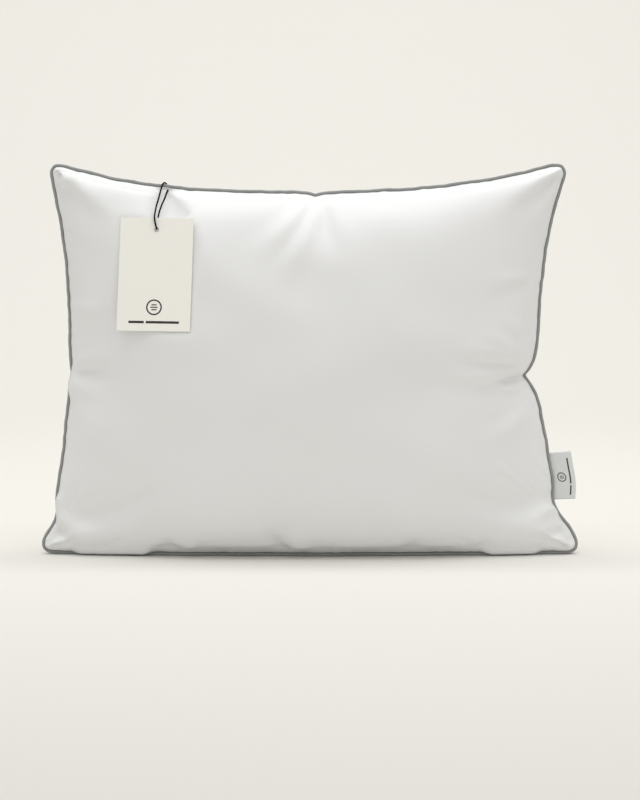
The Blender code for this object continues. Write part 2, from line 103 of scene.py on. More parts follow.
def catmull(points: np.ndarray, per: int, closed: bool) -> np.ndarray:
    """Smooth curve through points.

    Args:
        points: rows of coordinates.
        per: new points for each stretch between two given ones.
        closed: whether the last point joins the first.

    Returns:
        Rows of coordinates along the curve.
    """
    points = np.asarray(points, float)
    count = len(points)
    stretches = count if closed else count - 1
    t = np.arange(per)[:, None] / per
    made = []
    for k in range(stretches):
        ids = [k - 1, k, k + 1, k + 2]
        ids = [i % count for i in ids] if closed else [min(max(i, 0), count - 1) for i in ids]
        p0, p1, p2, p3 = points[ids]
        made.append(0.5 * (2 * p1 + (p2 - p0) * t + (2 * p0 - 5 * p1 + 4 * p2 - p3) * t ** 2
                           + (3 * p1 - p0 - 3 * p2 + p3) * t ** 3))
    if not closed:
        made.append(points[-1:])
    return np.concatenate(made)


def even_line(points: np.ndarray, step: float) -> np.ndarray:
    """Points at an even distance along an open line.

    Args:
        points: rows of coordinates.
        step: wanted distance.

    Returns:
        Rows of coordinates, ends included.
    """
    dense = catmull(points, 20, closed=False)
    run = np.r_[0.0, np.cumsum(np.linalg.norm(np.diff(dense, axis=0), axis=1))]
    count = max(2, round(run[-1] / step))
    at = np.linspace(0, run[-1], count + 1)
    return np.stack([np.interp(at, run, dense[:, k]) for k in range(3)], axis=1)


def soft_noise(x: np.ndarray, seed: int, scale: float) -> np.ndarray:
    """Smooth one-dimensional noise with period 1 in x.

    Args:
        x: places, where 1 comes round to 0 again.
        seed: which noise.
        scale: about how many waves fit in one period.

    Returns:
        Values of about -1 to 1.
    """
    rng = np.random.default_rng(seed)
    total = np.zeros_like(np.asarray(x, float))
    for turn in range(1, 9):
        waves = max(1, round(scale * (0.4 + 0.2 * turn)))
        total += rng.normal() * np.sin(2 * math.pi * (waves * np.asarray(x) + rng.random()))
    return total / 3.0


# ------------------------------------------------------------------ seam line


@dataclass
class SeamLine:
    """The closed line of the piping's centre, and how the cloth meets it."""

    ears_bottom: float = 0.6855
    ears_top: float = 0.6470
    ears_top_shift: float = -0.0020
    height: float = 0.4870
    corner_reach: float = 0.0265
    forward: float = 0.0350
    pipe_radius: float = 0.0021
    seam_in: float = 0.0032
    seam_out: float = 0.0025
    allowance: float = 0.0070
    stitch_in: float = 0.0048
    flange: float = 0.00055
    label_low: float = 0.0220
    label_high: float = 0.1700
    label_lift: float = 0.0012

    def tip(self, right: bool, top: bool) -> np.ndarray:
        """Sharp corner of the outline in X and Z."""
        half = (self.ears_top if top else self.ears_bottom) / 2
        shift = self.ears_top_shift if top else 0.0
        z = self.pipe_radius + (self.height if top else 0.0)
        return np.array([(half if right else -half) + shift, z])

    @staticmethod
    def run(side: Side) -> tuple[tuple[bool, bool], tuple[bool, bool], np.ndarray]:
        """First corner, last corner and the way towards the middle, for a side."""
        table = {
            Side.BOTTOM: ((False, False), (True, False), (0.0, 1.0)),
            Side.TOP: ((False, True), (True, True), (0.0, -1.0)),
            Side.LEFT: ((False, False), (False, True), (1.0, 0.0)),
            Side.RIGHT: ((True, False), (True, True), (-1.0, 0.0)),
        }
        first, last, inward = table[side]
        return first, last, np.array(inward)

    @staticmethod
    def drawn_in(side: Side, t: float) -> float:
        """How far the filling draws the seam towards the middle.

        Args:
            side: which side.
            t: place along it, 0 to 1.

        Returns:
            Metres.
        """
        q = 2 * t - 1

        def swell(low: float, high: float) -> float:
            return 1 - abs(q) ** (low if q < 0 else high)

        def pinch(at: float, wide: float) -> float:
            return math.exp(-abs(t - at) / wide)

        def neck(at: float, wide: float) -> float:
            return math.exp(-0.5 * ((t - at) / wide) ** 2)

        if side is Side.TOP:
            return 0.0390 * swell(2.9, 2.5) + 0.0040 * pinch(0.513, 0.02)
        if side is Side.RIGHT:
            body = 0.0458 * swell(3.0, 2.2) + 0.0095 * neck(0.12, 0.035)
            return body + 0.0210 * pinch(0.452, 0.045)
        if side is Side.LEFT:
            body = 0.0340 * swell(3.0, 2.2) + 0.0095 * neck(0.09, 0.032)
            return body + 0.0050 * pinch(0.46, 0.04)
        return 0.0

    def sharp(self, side: Side, t: float) -> np.ndarray:
        """Point of the outline before its corners are rounded, in X and Z."""
        first, last, inward = self.run(side)
        a, b = self.tip(*first), self.tip(*last)
        return a + (b - a) * t + inward * self.drawn_in(side, t)

    def reach(self, side: Side) -> float:
        """Share of a side that its rounded corner takes up."""
        first, last, _ = self.run(side)
        return self.corner_reach / float(np.linalg.norm(self.tip(*last) - self.tip(*first)))

    def round(self, side: Side, t: float) -> np.ndarray:
        """Point of the finished outline, in X and Z."""
        first, last, _ = self.run(side)
        cut = self.reach(side)
        for corner, along in ((first, t), (last, 1 - t)):
            if along < cut:
                other = next(s for s in Side if s is not side and corner in self.run(s)[:2])
                end = 0.0 if self.run(other)[0] == corner else 1.0
                far = self.sharp(other, abs(end - self.reach(other)))
                near = self.sharp(side, cut if corner == first else 1 - cut)
                s = 0.5 + 0.5 * along / cut
                return (1 - s) ** 2 * far + 2 * s * (1 - s) * self.tip(*corner) + s * s * near
        return self.sharp(side, t)

    def forward_shift(self, s: np.ndarray, t: np.ndarray) -> np.ndarray:
        """Y of the middle plane, which leans forward towards the bottom seam."""
        return -self.forward * (1 - t) ** 4 * (1 - 0.6 * (2 * s - 1) ** 2)

    def place(self, s: float, t: float) -> np.ndarray:
        """Piping centre at a place on the edge of the unit square."""
        if t in (0.0, 1.0):
            x, z = self.round(Side.BOTTOM if t == 0.0 else Side.TOP, s)
        else:
            x, z = self.round(Side.LEFT if s == 0.0 else Side.RIGHT, t)
        return np.array([x, float(self.forward_shift(s, t)), z])


@dataclass
class Ring:
    """Stations round the seam with their frames."""

    centre: np.ndarray
    inward: np.ndarray
    front: np.ndarray
    lift: np.ndarray
    along: np.ndarray

    def at(self, u: float | np.ndarray, w: float | np.ndarray,
           lifted: bool = False) -> np.ndarray:
        """Points u inward and w to the front of the piping's centre.

        Args:
            u: metres towards the middle.
            w: metres towards the front.
            lifted: whether the side label's room is added, towards the back.

        Returns:
            One row for each station.
        """
        u = np.broadcast_to(np.asarray(u, float), self.lift.shape)
        w = np.broadcast_to(np.asarray(w, float), self.lift.shape)
        rise = self.lift if lifted else 0.0
        return self.centre + u[:, None] * self.inward + (w - rise)[:, None] * self.front


@dataclass
class CutGrid:
    """Even grid over both flat panels, and the seam stations at its edge."""

    columns: int = 240
    rows: int = 172

    def cells(self) -> list[tuple[int, int]]:
        """Grid places of the edge, anticlockwise seen from the front."""
        nx, nz = self.columns, self.rows
        low = [(i, 0) for i in range(nx)]
        right = [(nx, j) for j in range(nz)]
        high = [(i, nz) for i in range(nx, 0, -1)]
        return low + right + high + [(0, j) for j in range(nz, 0, -1)]

    def ring(self, line: SeamLine) -> Ring:
        """Frames of the seam at every edge place of the grid.

        Args:
            line: the seam line.

        Returns:
            The ring of stations.
        """
        places = [(i / self.columns, j / self.rows) for i, j in self.cells()]
        centre = np.array([line.place(s, t) for s, t in places])
        turn = np.arange(len(centre)) / len(centre)
        along = unit(np.roll(centre, -1, axis=0) - np.roll(centre, 1, axis=0))
        flat = np.stack([-along[:, 2], 0 * along[:, 1], along[:, 0]], axis=1)
        lean = np.array([0.35 * (1 - t) ** 4 * (1 - (2 * s - 1) ** 6) for s, t in places])
        inward = flat + lean[:, None] * np.array([0.0, 1.0, 0.0])
        for _ in range(60):
            inward = unit(0.5 * inward + 0.25 * (np.roll(inward, 1, 0) + np.roll(inward, -1, 0)))
        front = unit(np.cross(inward, along))
        front *= -np.sign(front[:, 1])[:, None]
        wave = 0.00022 * soft_noise(turn, 11, 70) + 0.00035 * soft_noise(turn, 12, 24)
        floor_free = smooth(0.002, 0.030, centre[:, 2])
        centre = centre + inward * (wave * floor_free)[:, None]
        centre[:, 1] += 0.0011 * soft_noise(turn, 13, 20)
        side = (centre[:, 0] > 0.25) & (centre[:, 2] > line.label_low)
        lift = line.label_lift * smooth(line.label_low, line.label_low + 0.012, centre[:, 2])
        lift = lift * smooth(line.label_high, line.label_high - 0.012, centre[:, 2]) * side
        return Ring(centre, inward, front, lift, along)


def coarser(ring: Ring, per: int) -> Ring:
    """The same ring with every so many stations."""
    parts = (ring.centre, ring.inward, ring.front, ring.lift, ring.along)
    return Ring(*(part[::per] for part in parts))


def finer(ring: Ring, per: int) -> Ring:
    """The same ring with more stations, smoothly between the given ones."""
    return Ring(
        catmull(ring.centre, per, True),
        unit(catmull(ring.inward, per, True)),
        unit(catmull(ring.front, per, True)),
        catmull(ring.lift[:, None], per, True)[:, 0],
        unit(catmull(ring.along, per, True)),
    )


# ------------------------------------------------------------------ mesh helpers


def mesh_object(name: str, points: np.ndarray, faces: list[tuple[int, ...]],
                finish: bpy.types.Material, round_faces: bool = True) -> bpy.types.Object:
    """Plain mesh object at the origin.

    Args:
        name: object name.
        points: rows of coordinates.
        faces: vertex numbers of each face.
        finish: its material.
        round_faces: smooth shading.

    Returns:
        The linked object.
    """
    mesh = bpy.data.meshes.new(name)
    mesh.from_pydata([tuple(map(float, p)) for p in points], [], faces)
    mesh.polygons.foreach_set("use_smooth", [round_faces] * len(mesh.polygons))
    mesh.materials.append(finish)
    mesh.update()
    obj = bpy.data.objects.new(name, mesh)
    bpy.context.scene.collection.objects.link(obj)
    return obj


def face_out(obj: bpy.types.Object) -> None:
    """Turn every face of a closed mesh outwards."""
    work = bmesh.new()
    work.from_mesh(obj.data)
    bmesh.ops.recalc_face_normals(work, faces=work.faces)
    if work.calc_volume(signed=True) < 0:
        bmesh.ops.reverse_faces(work, faces=work.faces)
    work.to_mesh(obj.data)
    work.free()


def set_uv(obj: bpy.types.Object, per_vertex: np.ndarray) -> None:
    """Give a mesh a UV map from one (u, v) pair for each vertex."""
    layer = obj.data.uv_layers.new(name="cloth")
    loops = np.empty(len(obj.data.loops), np.int32)
    obj.data.loops.foreach_get("vertex_index", loops)
    layer.data.foreach_set("uv", per_vertex[loops].astype(np.float32).ravel())


def swept(name: str, rings: list[np.ndarray], closed_path: bool, finish: bpy.types.Material,
          uv_size: tuple[float, float] = (1.0, 1.0)) -> bpy.types.Object:
    """Tube from equal rings along a path.

    Args:
        name: object name.
        rings: for each point of the section, its rows along the path.
        closed_path: whether the path comes back to its start.
        finish: its material.
        uv_size: metres along and round the tube that the UV map spans.

    Returns:
        The closed tube.
    """
    stack = np.stack(rings, axis=1)
    count, sides = stack.shape[:2]
    points = stack.reshape(-1, 3)
    faces = []
    uvs = []
    last = count if closed_path else count - 1
    for k in range(last):
        m = (k + 1) % count
        for a in range(sides):
            b = (a + 1) % sides
            faces.append((k * sides + a, k * sides + b, m * sides + b, m * sides + a))
            u0, u1 = k / last * uv_size[0], (k + 1) / last * uv_size[0]
            v0, v1 = a / sides * uv_size[1], (a + 1) / sides * uv_size[1]
            uvs += [(u0, v0), (u0, v1), (u1, v1), (u1, v0)]
    if not closed_path:
        faces.append(tuple(range(sides - 1, -1, -1)))
        faces.append(tuple((count - 1) * sides + a for a in range(sides)))
        uvs += [(0.0, 0.0)] * sides * 2
    obj = mesh_object(name, points, faces, finish)
    layer = obj.data.uv_layers.new(name="cloth")
    layer.data.foreach_set("uv", np.array(uvs, np.float32).ravel())
    face_out(obj)
    return obj


def subdivide(obj: bpy.types.Object, levels: int) -> None:
    """Add a live Subdivision Surface with equal viewport and render levels."""
    modifier = obj.modifiers.new("round", "SUBSURF")
    modifier.levels = levels
    modifier.render_levels = levels
    modifier.uv_smooth = "PRESERVE_BOUNDARIES"
    modifier.boundary_smooth = "PRESERVE_CORNERS"


# ------------------------------------------------------------------ shader groups


class GroupMaker:
    """Small helper that adds nodes to a tree and joins them."""

    def __init__(self, tree: bpy.types.NodeTree) -> None:
        """Keep the tree."""
        self.tree = tree
        self.column = 0

    def node(self, kind: str, **values: object) -> bpy.types.Node:
        """Add a node; values set its properties."""
        made = self.tree.nodes.new(kind)
        for key, value in values.items():
            setattr(made, key, value)
        made.location = (self.column, 0)
        self.column += NODES_PER_COLUMN
        return made

    def join(self, a: bpy.types.NodeSocket, b: bpy.types.NodeSocket) -> None:
        """Link an output to an input."""
        self.tree.links.new(a, b)

    def math(self, operation: str, a: object, b: object = None,
             clamp: bool = False) -> bpy.types.NodeSocket:
        """A Math node.

        Args:
            operation: its operation.
            a: first socket or number.
            b: second socket or number.
            clamp: keep the result from 0 to 1.

        Returns:
            The node's output.
        """
        made = self.node("ShaderNodeMath", operation=operation, use_clamp=clamp)
        for slot, value in enumerate((a, b)):
            if value is None:
                continue
            if isinstance(value, bpy.types.NodeSocket):
                self.join(value, made.inputs[slot])
            else:
                made.inputs[slot].default_value = float(value)
        return made.outputs[0]

    def mix(self, factor: object, a: object, b: object) -> bpy.types.NodeSocket:
        """A colour mix of two sockets or colours."""
        made = self.node("ShaderNodeMix", data_type="RGBA")
        pairs = ((made.inputs[0], factor), (made.inputs[6], a), (made.inputs[7], b))
        for socket, value in pairs:
            if isinstance(value, bpy.types.NodeSocket):
                self.join(value, socket)
            elif isinstance(value, (int, float)):
                socket.default_value = float(value)
            else:
                socket.default_value = (*value, 1.0) if len(value) == 3 else value
        return made.outputs[2]


class GroupName(Enum):
    """Shader groups that several finishes share."""

    WEAVE = "plain_weave"
    MOTTLE = "soft_mottle"
    TWIST = "thread_twist"


def new_group(name: GroupName, inputs: list[tuple[str, str, float]],
              outputs: list[tuple[str, str]]) -> tuple[GroupMaker, bpy.types.Node,
                                                       bpy.types.Node]:
    """Empty shader group with its sockets.

    Args:
        name: the group.
        inputs: name, socket type and default of each input.
        outputs: name and socket type of each output.

    Returns:
        The maker, the group's input node and its output node.
    """
    tree = bpy.data.node_groups.new(name.value, "ShaderNodeTree")
    for label, kind, value in inputs:
        made = tree.interface.new_socket(label, in_out="INPUT", socket_type=kind)
        if kind == "NodeSocketFloat":
            made.default_value = value
    for label, kind in outputs:
        tree.interface.new_socket(label, in_out="OUTPUT", socket_type=kind)
    maker = GroupMaker(tree)
    return maker, maker.node("NodeGroupInput"), maker.node("NodeGroupOutput")


def weave_group() -> bpy.types.NodeTree:
    """Plain weave: over and under threads as a height and a shade mask."""
    found = bpy.data.node_groups.get(GroupName.WEAVE.value)
    if found:
        return found
    maker, source, out = new_group(
        GroupName.WEAVE,
        [("Place", "NodeSocketVector", 0.0), ("Threads per metre", "NodeSocketFloat", 2600.0),
         ("Slub", "NodeSocketFloat", 0.3)],
        [("Height", "NodeSocketFloat"), ("Shade", "NodeSocketFloat")],
    )
    scale = maker.node("ShaderNodeVectorMath", operation="SCALE")
    maker.join(source.outputs["Place"], scale.inputs[0])
    maker.join(source.outputs["Threads per metre"], scale.inputs["Scale"])
    parts = maker.node("ShaderNodeSeparateXYZ")
    maker.join(scale.outputs[0], parts.inputs[0])
    across = maker.math("SINE", maker.math("MULTIPLY", parts.outputs[0], math.pi))
    up = maker.math("SINE", maker.math("MULTIPLY", parts.outputs[1], math.pi))
    cross = maker.math("MULTIPLY", across, up)
    over = maker.math("ABSOLUTE", cross)
    slub = maker.node("ShaderNodeTexNoise")
    slub.inputs["Scale"].default_value = 160.0
    slub.inputs["Detail"].default_value = 2.0
    maker.join(source.outputs["Place"], slub.inputs["Vector"])
    uneven = maker.math("MULTIPLY", slub.outputs[0], source.outputs["Slub"])
    height = maker.math("ADD", over, uneven)
    maker.join(height, out.inputs["Height"])
    # Painted shade: where the weave is low, in the gaps between threads, the shade mask is dark;
    # the slub noise in it adds random unevenness.
    maker.join(maker.math("MULTIPLY", height, 0.6, clamp=True), out.inputs["Shade"])
    return maker.tree


def mottle_group() -> bpy.types.NodeTree:
    """Broad, faint unevenness of colour and gloss, as handled cloth or paper has."""
    found = bpy.data.node_groups.get(GroupName.MOTTLE.value)
    if found:
        return found
    maker, source, out = new_group(
        GroupName.MOTTLE,
        [("Place", "NodeSocketVector", 0.0), ("Scale", "NodeSocketFloat", 12.0),
         ("Fine scale", "NodeSocketFloat", 140.0), ("Strength", "NodeSocketFloat", 0.5)],
        [("Mask", "NodeSocketFloat"), ("Fine", "NodeSocketFloat")],
    )
    broad = maker.node("ShaderNodeTexNoise")
    broad.inputs["Detail"].default_value = 3.0
    broad.inputs["Roughness"].default_value = 0.55
    maker.join(source.outputs["Place"], broad.inputs["Vector"])
    maker.join(source.outputs["Scale"], broad.inputs["Scale"])
    fine = maker.node("ShaderNodeTexNoise")
    fine.inputs["Detail"].default_value = 4.0
    maker.join(source.outputs["Place"], fine.inputs["Vector"])
    maker.join(source.outputs["Fine scale"], fine.inputs["Scale"])
    swing = maker.math("MULTIPLY", maker.math("SUBTRACT", broad.outputs[0], 0.5),
                       source.outputs["Strength"])
    maker.join(maker.math("ADD", swing, 0.5, clamp=True), out.inputs["Mask"])
    maker.join(fine.outputs[0], out.inputs["Fine"])
    return maker.tree


def twist_group() -> bpy.types.NodeTree:
    """Slanting plies of a thread or cord, on a UV that runs along and round it; its Shade output
    is painted shade in the grooves between plies, with random fluff.
    """
    found = bpy.data.node_groups.get(GroupName.TWIST.value)
    if found:
        return found
    maker, source, out = new_group(
        GroupName.TWIST,
        [("Place", "NodeSocketVector", 0.0), ("Turns per metre", "NodeSocketFloat", 300.0),
         ("Plies round", "NodeSocketFloat", 3.0)],
        [("Height", "NodeSocketFloat"), ("Shade", "NodeSocketFloat")],
    )
    parts = maker.node("ShaderNodeSeparateXYZ")
    maker.join(source.outputs["Place"], parts.inputs[0])
    along = maker.math("MULTIPLY", parts.outputs[0], source.outputs["Turns per metre"])
    around = maker.math("MULTIPLY", parts.outputs[1], source.outputs["Plies round"])
    slant = maker.math("MULTIPLY", maker.math("ADD", along, around), math.pi)
    ridge = maker.math("ABSOLUTE", maker.math("SINE", slant))
    fluff = maker.node("ShaderNodeTexNoise")
    fluff.inputs["Scale"].default_value = 900.0
    maker.join(source.outputs["Place"], fluff.inputs["Vector"])
    height = maker.math("ADD", ridge, maker.math("MULTIPLY", fluff.outputs[0], 0.3))
    maker.join(height, out.inputs["Height"])
    # Painted shade: the grooves between plies are low and come out dark; the fluff noise adds
    # random tone.
    maker.join(maker.math("MULTIPLY", height, 0.75, clamp=True), out.inputs["Shade"])
    return maker.tree


# ------------------------------------------------------------------ finishes


@dataclass(frozen=True)
class Finish:
    """Common numbers of every finish."""

    name: str
    colour: tuple[float, float, float]
    dark: tuple[float, float, float]
    roughness: float = 0.6
    sheen: float = 0.0
    specular: float = 0.5

    def start(self) -> tuple[bpy.types.Material, GroupMaker, bpy.types.Node]:
        """New material with its shader's constant values set."""
        made = bpy.data.materials.new(self.name)
        made.use_nodes = True
        shader = made.node_tree.nodes["Principled BSDF"]
        shader.inputs["Base Color"].default_value = (*self.colour, 1.0)
        shader.inputs["Roughness"].default_value = self.roughness
        shader.inputs["Sheen Weight"].default_value = self.sheen
        shader.inputs["Specular IOR Level"].default_value = self.specular
        made.diffuse_color = (*self.colour, 1.0)
        return made, GroupMaker(made.node_tree), shader

    @staticmethod
    def uv(maker: GroupMaker) -> bpy.types.NodeSocket:
        """The piece's own UV map."""
        return maker.node("ShaderNodeUVMap", uv_map="cloth").outputs[0]

    @staticmethod
    def own(maker: GroupMaker) -> bpy.types.NodeSocket:
        """Object coordinates."""
        return maker.node("ShaderNodeTexCoord").outputs["Object"]

    @staticmethod
    def mottled(maker: GroupMaker, place: bpy.types.NodeSocket, scale: float, fine: float,
                strength: float = 0.5) -> bpy.types.Node:
        """Mottle group on a place.

        Args:
            maker: the material's tree.
            place: coordinates that it reads.
            scale: scale of its broad spots.
            fine: scale of its fine grain.
            strength: how strong the broad spots are.

        Returns:
            The group node, with Mask and Fine outputs.
        """
        made = maker.node("ShaderNodeGroup", node_tree=mottle_group())
        made.inputs["Scale"].default_value = scale
        made.inputs["Fine scale"].default_value = fine
        made.inputs["Strength"].default_value = strength
        maker.join(place, made.inputs["Place"])
        return made

    @staticmethod
    def relief(maker: GroupMaker, shader: bpy.types.Node, height: bpy.types.NodeSocket,
               distance: float, strength: float) -> bpy.types.Node:
        """Bump from a height.

        Args:
            maker: the material's tree.
            shader: its shader.
            height: the height socket.
            distance: depth in metres.
            strength: 0 to 1.

        Returns:
            The Bump node.
        """
        made = maker.node("ShaderNodeBump")
        made.inputs["Strength"].default_value = strength
        made.inputs["Distance"].default_value = distance
        maker.join(height, made.inputs["Height"])
        maker.join(made.outputs[0], shader.inputs["Normal"])
        return made


@dataclass(frozen=True)
class ClothFinish(Finish):
    """Woven cloth on the piece's own UV, in metres of flat cloth."""

    threads: float = 3200.0
    slub: float = 0.25
    relief_depth: float = 0.00006
    relief_strength: float = 0.22
    mottle: float = 0.35
    gloss_swing: float = 0.08

    def build(self) -> bpy.types.Material:
        """The material."""
        made, maker, shader = self.start()
        place = self.uv(maker)
        weave = maker.node("ShaderNodeGroup", node_tree=weave_group())
        weave.inputs["Threads per metre"].default_value = self.threads
        weave.inputs["Slub"].default_value = self.slub
        maker.join(place, weave.inputs["Place"])
        mottle = self.mottled(maker, place, 9.0, 420.0, self.mottle)
        # Painted shade in the gaps between threads, from the weave's shade mask, then random
        # mottle, both mixed towards the dark tone.
        threads = maker.mix(weave.outputs["Shade"], self.dark, self.colour)
        shade = maker.mix(mottle.outputs["Mask"], self.dark, threads)
        soft = maker.mix(0.82, shade, self.colour)
        maker.join(soft, shader.inputs["Base Color"])
        swing = maker.math("MULTIPLY", mottle.outputs["Fine"], self.gloss_swing)
        rough = maker.math("ADD", swing, self.roughness - self.gloss_swing / 2)
        maker.join(rough, shader.inputs["Roughness"])
        self.relief(maker, shader, weave.outputs["Height"], self.relief_depth,
                    self.relief_strength)
        return made


@dataclass(frozen=True)
class ThreadFinish(Finish):
    """Twisted thread or cord."""

    turns: float = 300.0
    plies: float = 3.0
    relief_depth: float = 0.00025
    relief_strength: float = 0.8

    def build(self) -> bpy.types.Material:
        """The material."""
        made, maker, shader = self.start()
        twist = maker.node("ShaderNodeGroup", node_tree=twist_group())
        twist.inputs["Turns per metre"].default_value = self.turns
        twist.inputs["Plies round"].default_value = self.plies
        maker.join(self.uv(maker), twist.inputs["Place"])
        # Painted shade in the grooves between plies darkens the base colour towards the dark
        # tone.
        maker.join(maker.mix(twist.outputs["Shade"], self.dark, self.colour),
                   shader.inputs["Base Color"])
        self.relief(maker, shader, twist.outputs["Height"], self.relief_depth,
                    self.relief_strength)
        return made


@dataclass(frozen=True)
class PaperFinish(Finish):
    """Uncoated card with fine fibres and a little unevenness."""

    def build(self) -> bpy.types.Material:
        """The material."""
        made, maker, shader = self.start()
        mottle = self.mottled(maker, self.own(maker), 26.0, 1500.0, 0.7)
        maker.join(maker.mix(mottle.outputs["Mask"], self.dark, self.colour),
                   shader.inputs["Base Color"])
        swing = maker.math("MULTIPLY", mottle.outputs["Fine"], 0.2)
        maker.join(maker.math("ADD", swing, self.roughness - 0.1), shader.inputs["Roughness"])
        self.relief(maker, shader, mottle.outputs["Fine"], 0.00005, 0.5)
        return made


@dataclass(frozen=True)
class FibreFinish(Finish):
    """Loose crimped fibre."""

    def build(self) -> bpy.types.Material:
        """The material."""
        made, maker, shader = self.start()
        mottle = self.mottled(maker, self.own(maker), 30.0, 320.0, 1.0)
        maker.join(maker.mix(mottle.outputs["Mask"], self.dark, self.colour),
                   shader.inputs["Base Color"])
        self.relief(maker, shader, mottle.outputs["Fine"], 0.002, 0.7)
        return made


@dataclass(frozen=True)
class InkFinish(Finish):
    """Flat printing ink."""

    def build(self) -> bpy.types.Material:
        """The material."""
        made, maker, shader = self.start()
        mottle = self.mottled(maker, self.own(maker), 300.0, 2500.0)
        maker.join(maker.mix(mottle.outputs["Fine"], self.dark, self.colour),
                   shader.inputs["Base Color"])
        return made


# PERCALE_SHADE is the dark tone that both the painted shade between threads and the random
# mottle mix towards.
PERCALE_WHITE = (0.845, 0.847, 0.845)
PERCALE_SHADE = (0.765, 0.765, 0.765)


@dataclass(frozen=True)
class Wardrobe:
    """Every finish of the pillow."""

    front: ClothFinish = ClothFinish("white_percale", PERCALE_WHITE, PERCALE_SHADE,
                                     0.52, 0.12, 0.35)
    back: ClothFinish = ClothFinish("white_percale_back", PERCALE_WHITE, PERCALE_SHADE,
                                    0.52, 0.12, 0.35)
    piping: ClothFinish = ClothFinish("grey_bias_strip", (0.335, 0.345, 0.340),
                                      (0.19, 0.195, 0.192), 0.72, 0.15, 0.3, 1500.0, 0.5,
                                      0.0002, 0.6, 0.8, 0.1)
    label: ClothFinish = ClothFinish("grey_satin_ribbon", (0.74, 0.75, 0.745),
                                     (0.62, 0.63, 0.625), 0.38, 0.1, 0.5, 2600.0, 0.2,
                                     0.00008, 0.35, 0.4, 0.1)
    cord: ThreadFinish = ThreadFinish("cotton_filler_cord", (0.76, 0.74, 0.69),
                                      (0.5, 0.48, 0.44), 0.9)
    needle: ThreadFinish = ThreadFinish("needle_thread", (0.84, 0.84, 0.82),
                                        (0.55, 0.55, 0.53), 0.6, turns=900.0)
    bobbin: ThreadFinish = ThreadFinish("bobbin_thread", (0.82, 0.82, 0.80),
                                        (0.53, 0.53, 0.51), 0.6, turns=900.0)
    overlock: ThreadFinish = ThreadFinish("overlock_thread", (0.86, 0.86, 0.84),
                                          (0.6, 0.6, 0.58), 0.7, turns=700.0)
    string: ThreadFinish = ThreadFinish("black_waxed_string", (0.006, 0.006, 0.006),
                                        (0.002, 0.002, 0.002), 0.7, specular=0.04,
                                        turns=420.0)
    card: PaperFinish = PaperFinish("cream_card", (0.95, 0.935, 0.875), (0.92, 0.90, 0.83),
                                    0.75)
    ink: InkFinish = InkFinish("black_ink", (0.015, 0.015, 0.016), (0.03, 0.03, 0.03), 0.5)
    label_ink: InkFinish = InkFinish("grey_ink", (0.035, 0.035, 0.036), (0.06, 0.06, 0.06),
                                     0.6)
    fibre: FibreFinish = FibreFinish("polyester_fibre", (0.93, 0.93, 0.92),
                                     (0.82, 0.82, 0.82), 0.95, 0.3)


# ------------------------------------------------------------------ panels


@dataclass(frozen=True)
class Fold:
    """Soft ridge, or valley when high is below zero, that fades from start to end."""

    start: tuple[float, float]
    end: tuple[float, float]
    wide: float
    high: float
    bend: float = 0.0

    def lift(self, x: np.ndarray, z: np.ndarray) -> np.ndarray:
        """Height over a panel.

        Args:
            x: places along X.
            z: places along Z.

        Returns:
            Metres outwards at each place.
        """
        a, b = np.array(self.start), np.array(self.end)
        length = float(np.linalg.norm(b - a))
        way = (b - a) / length
        dx, dz = x - a[0], z - a[1]
        t = (dx * way[0] + dz * way[1]) / length
        inside = np.clip(t, 0, 1)
        off = dx * -way[1] + dz * way[0] - self.bend * 4 * inside * (1 - inside)
        beyond = (t - inside) * length
        wide = self.wide * (0.75 + 0.75 * inside)
        fade = smooth(-0.25, 0.2, t) * smooth(1.15, 0.45, t)
        return self.high * fade * np.exp(-(off / wide) ** 2 - (beyond / (2 * wide)) ** 2)


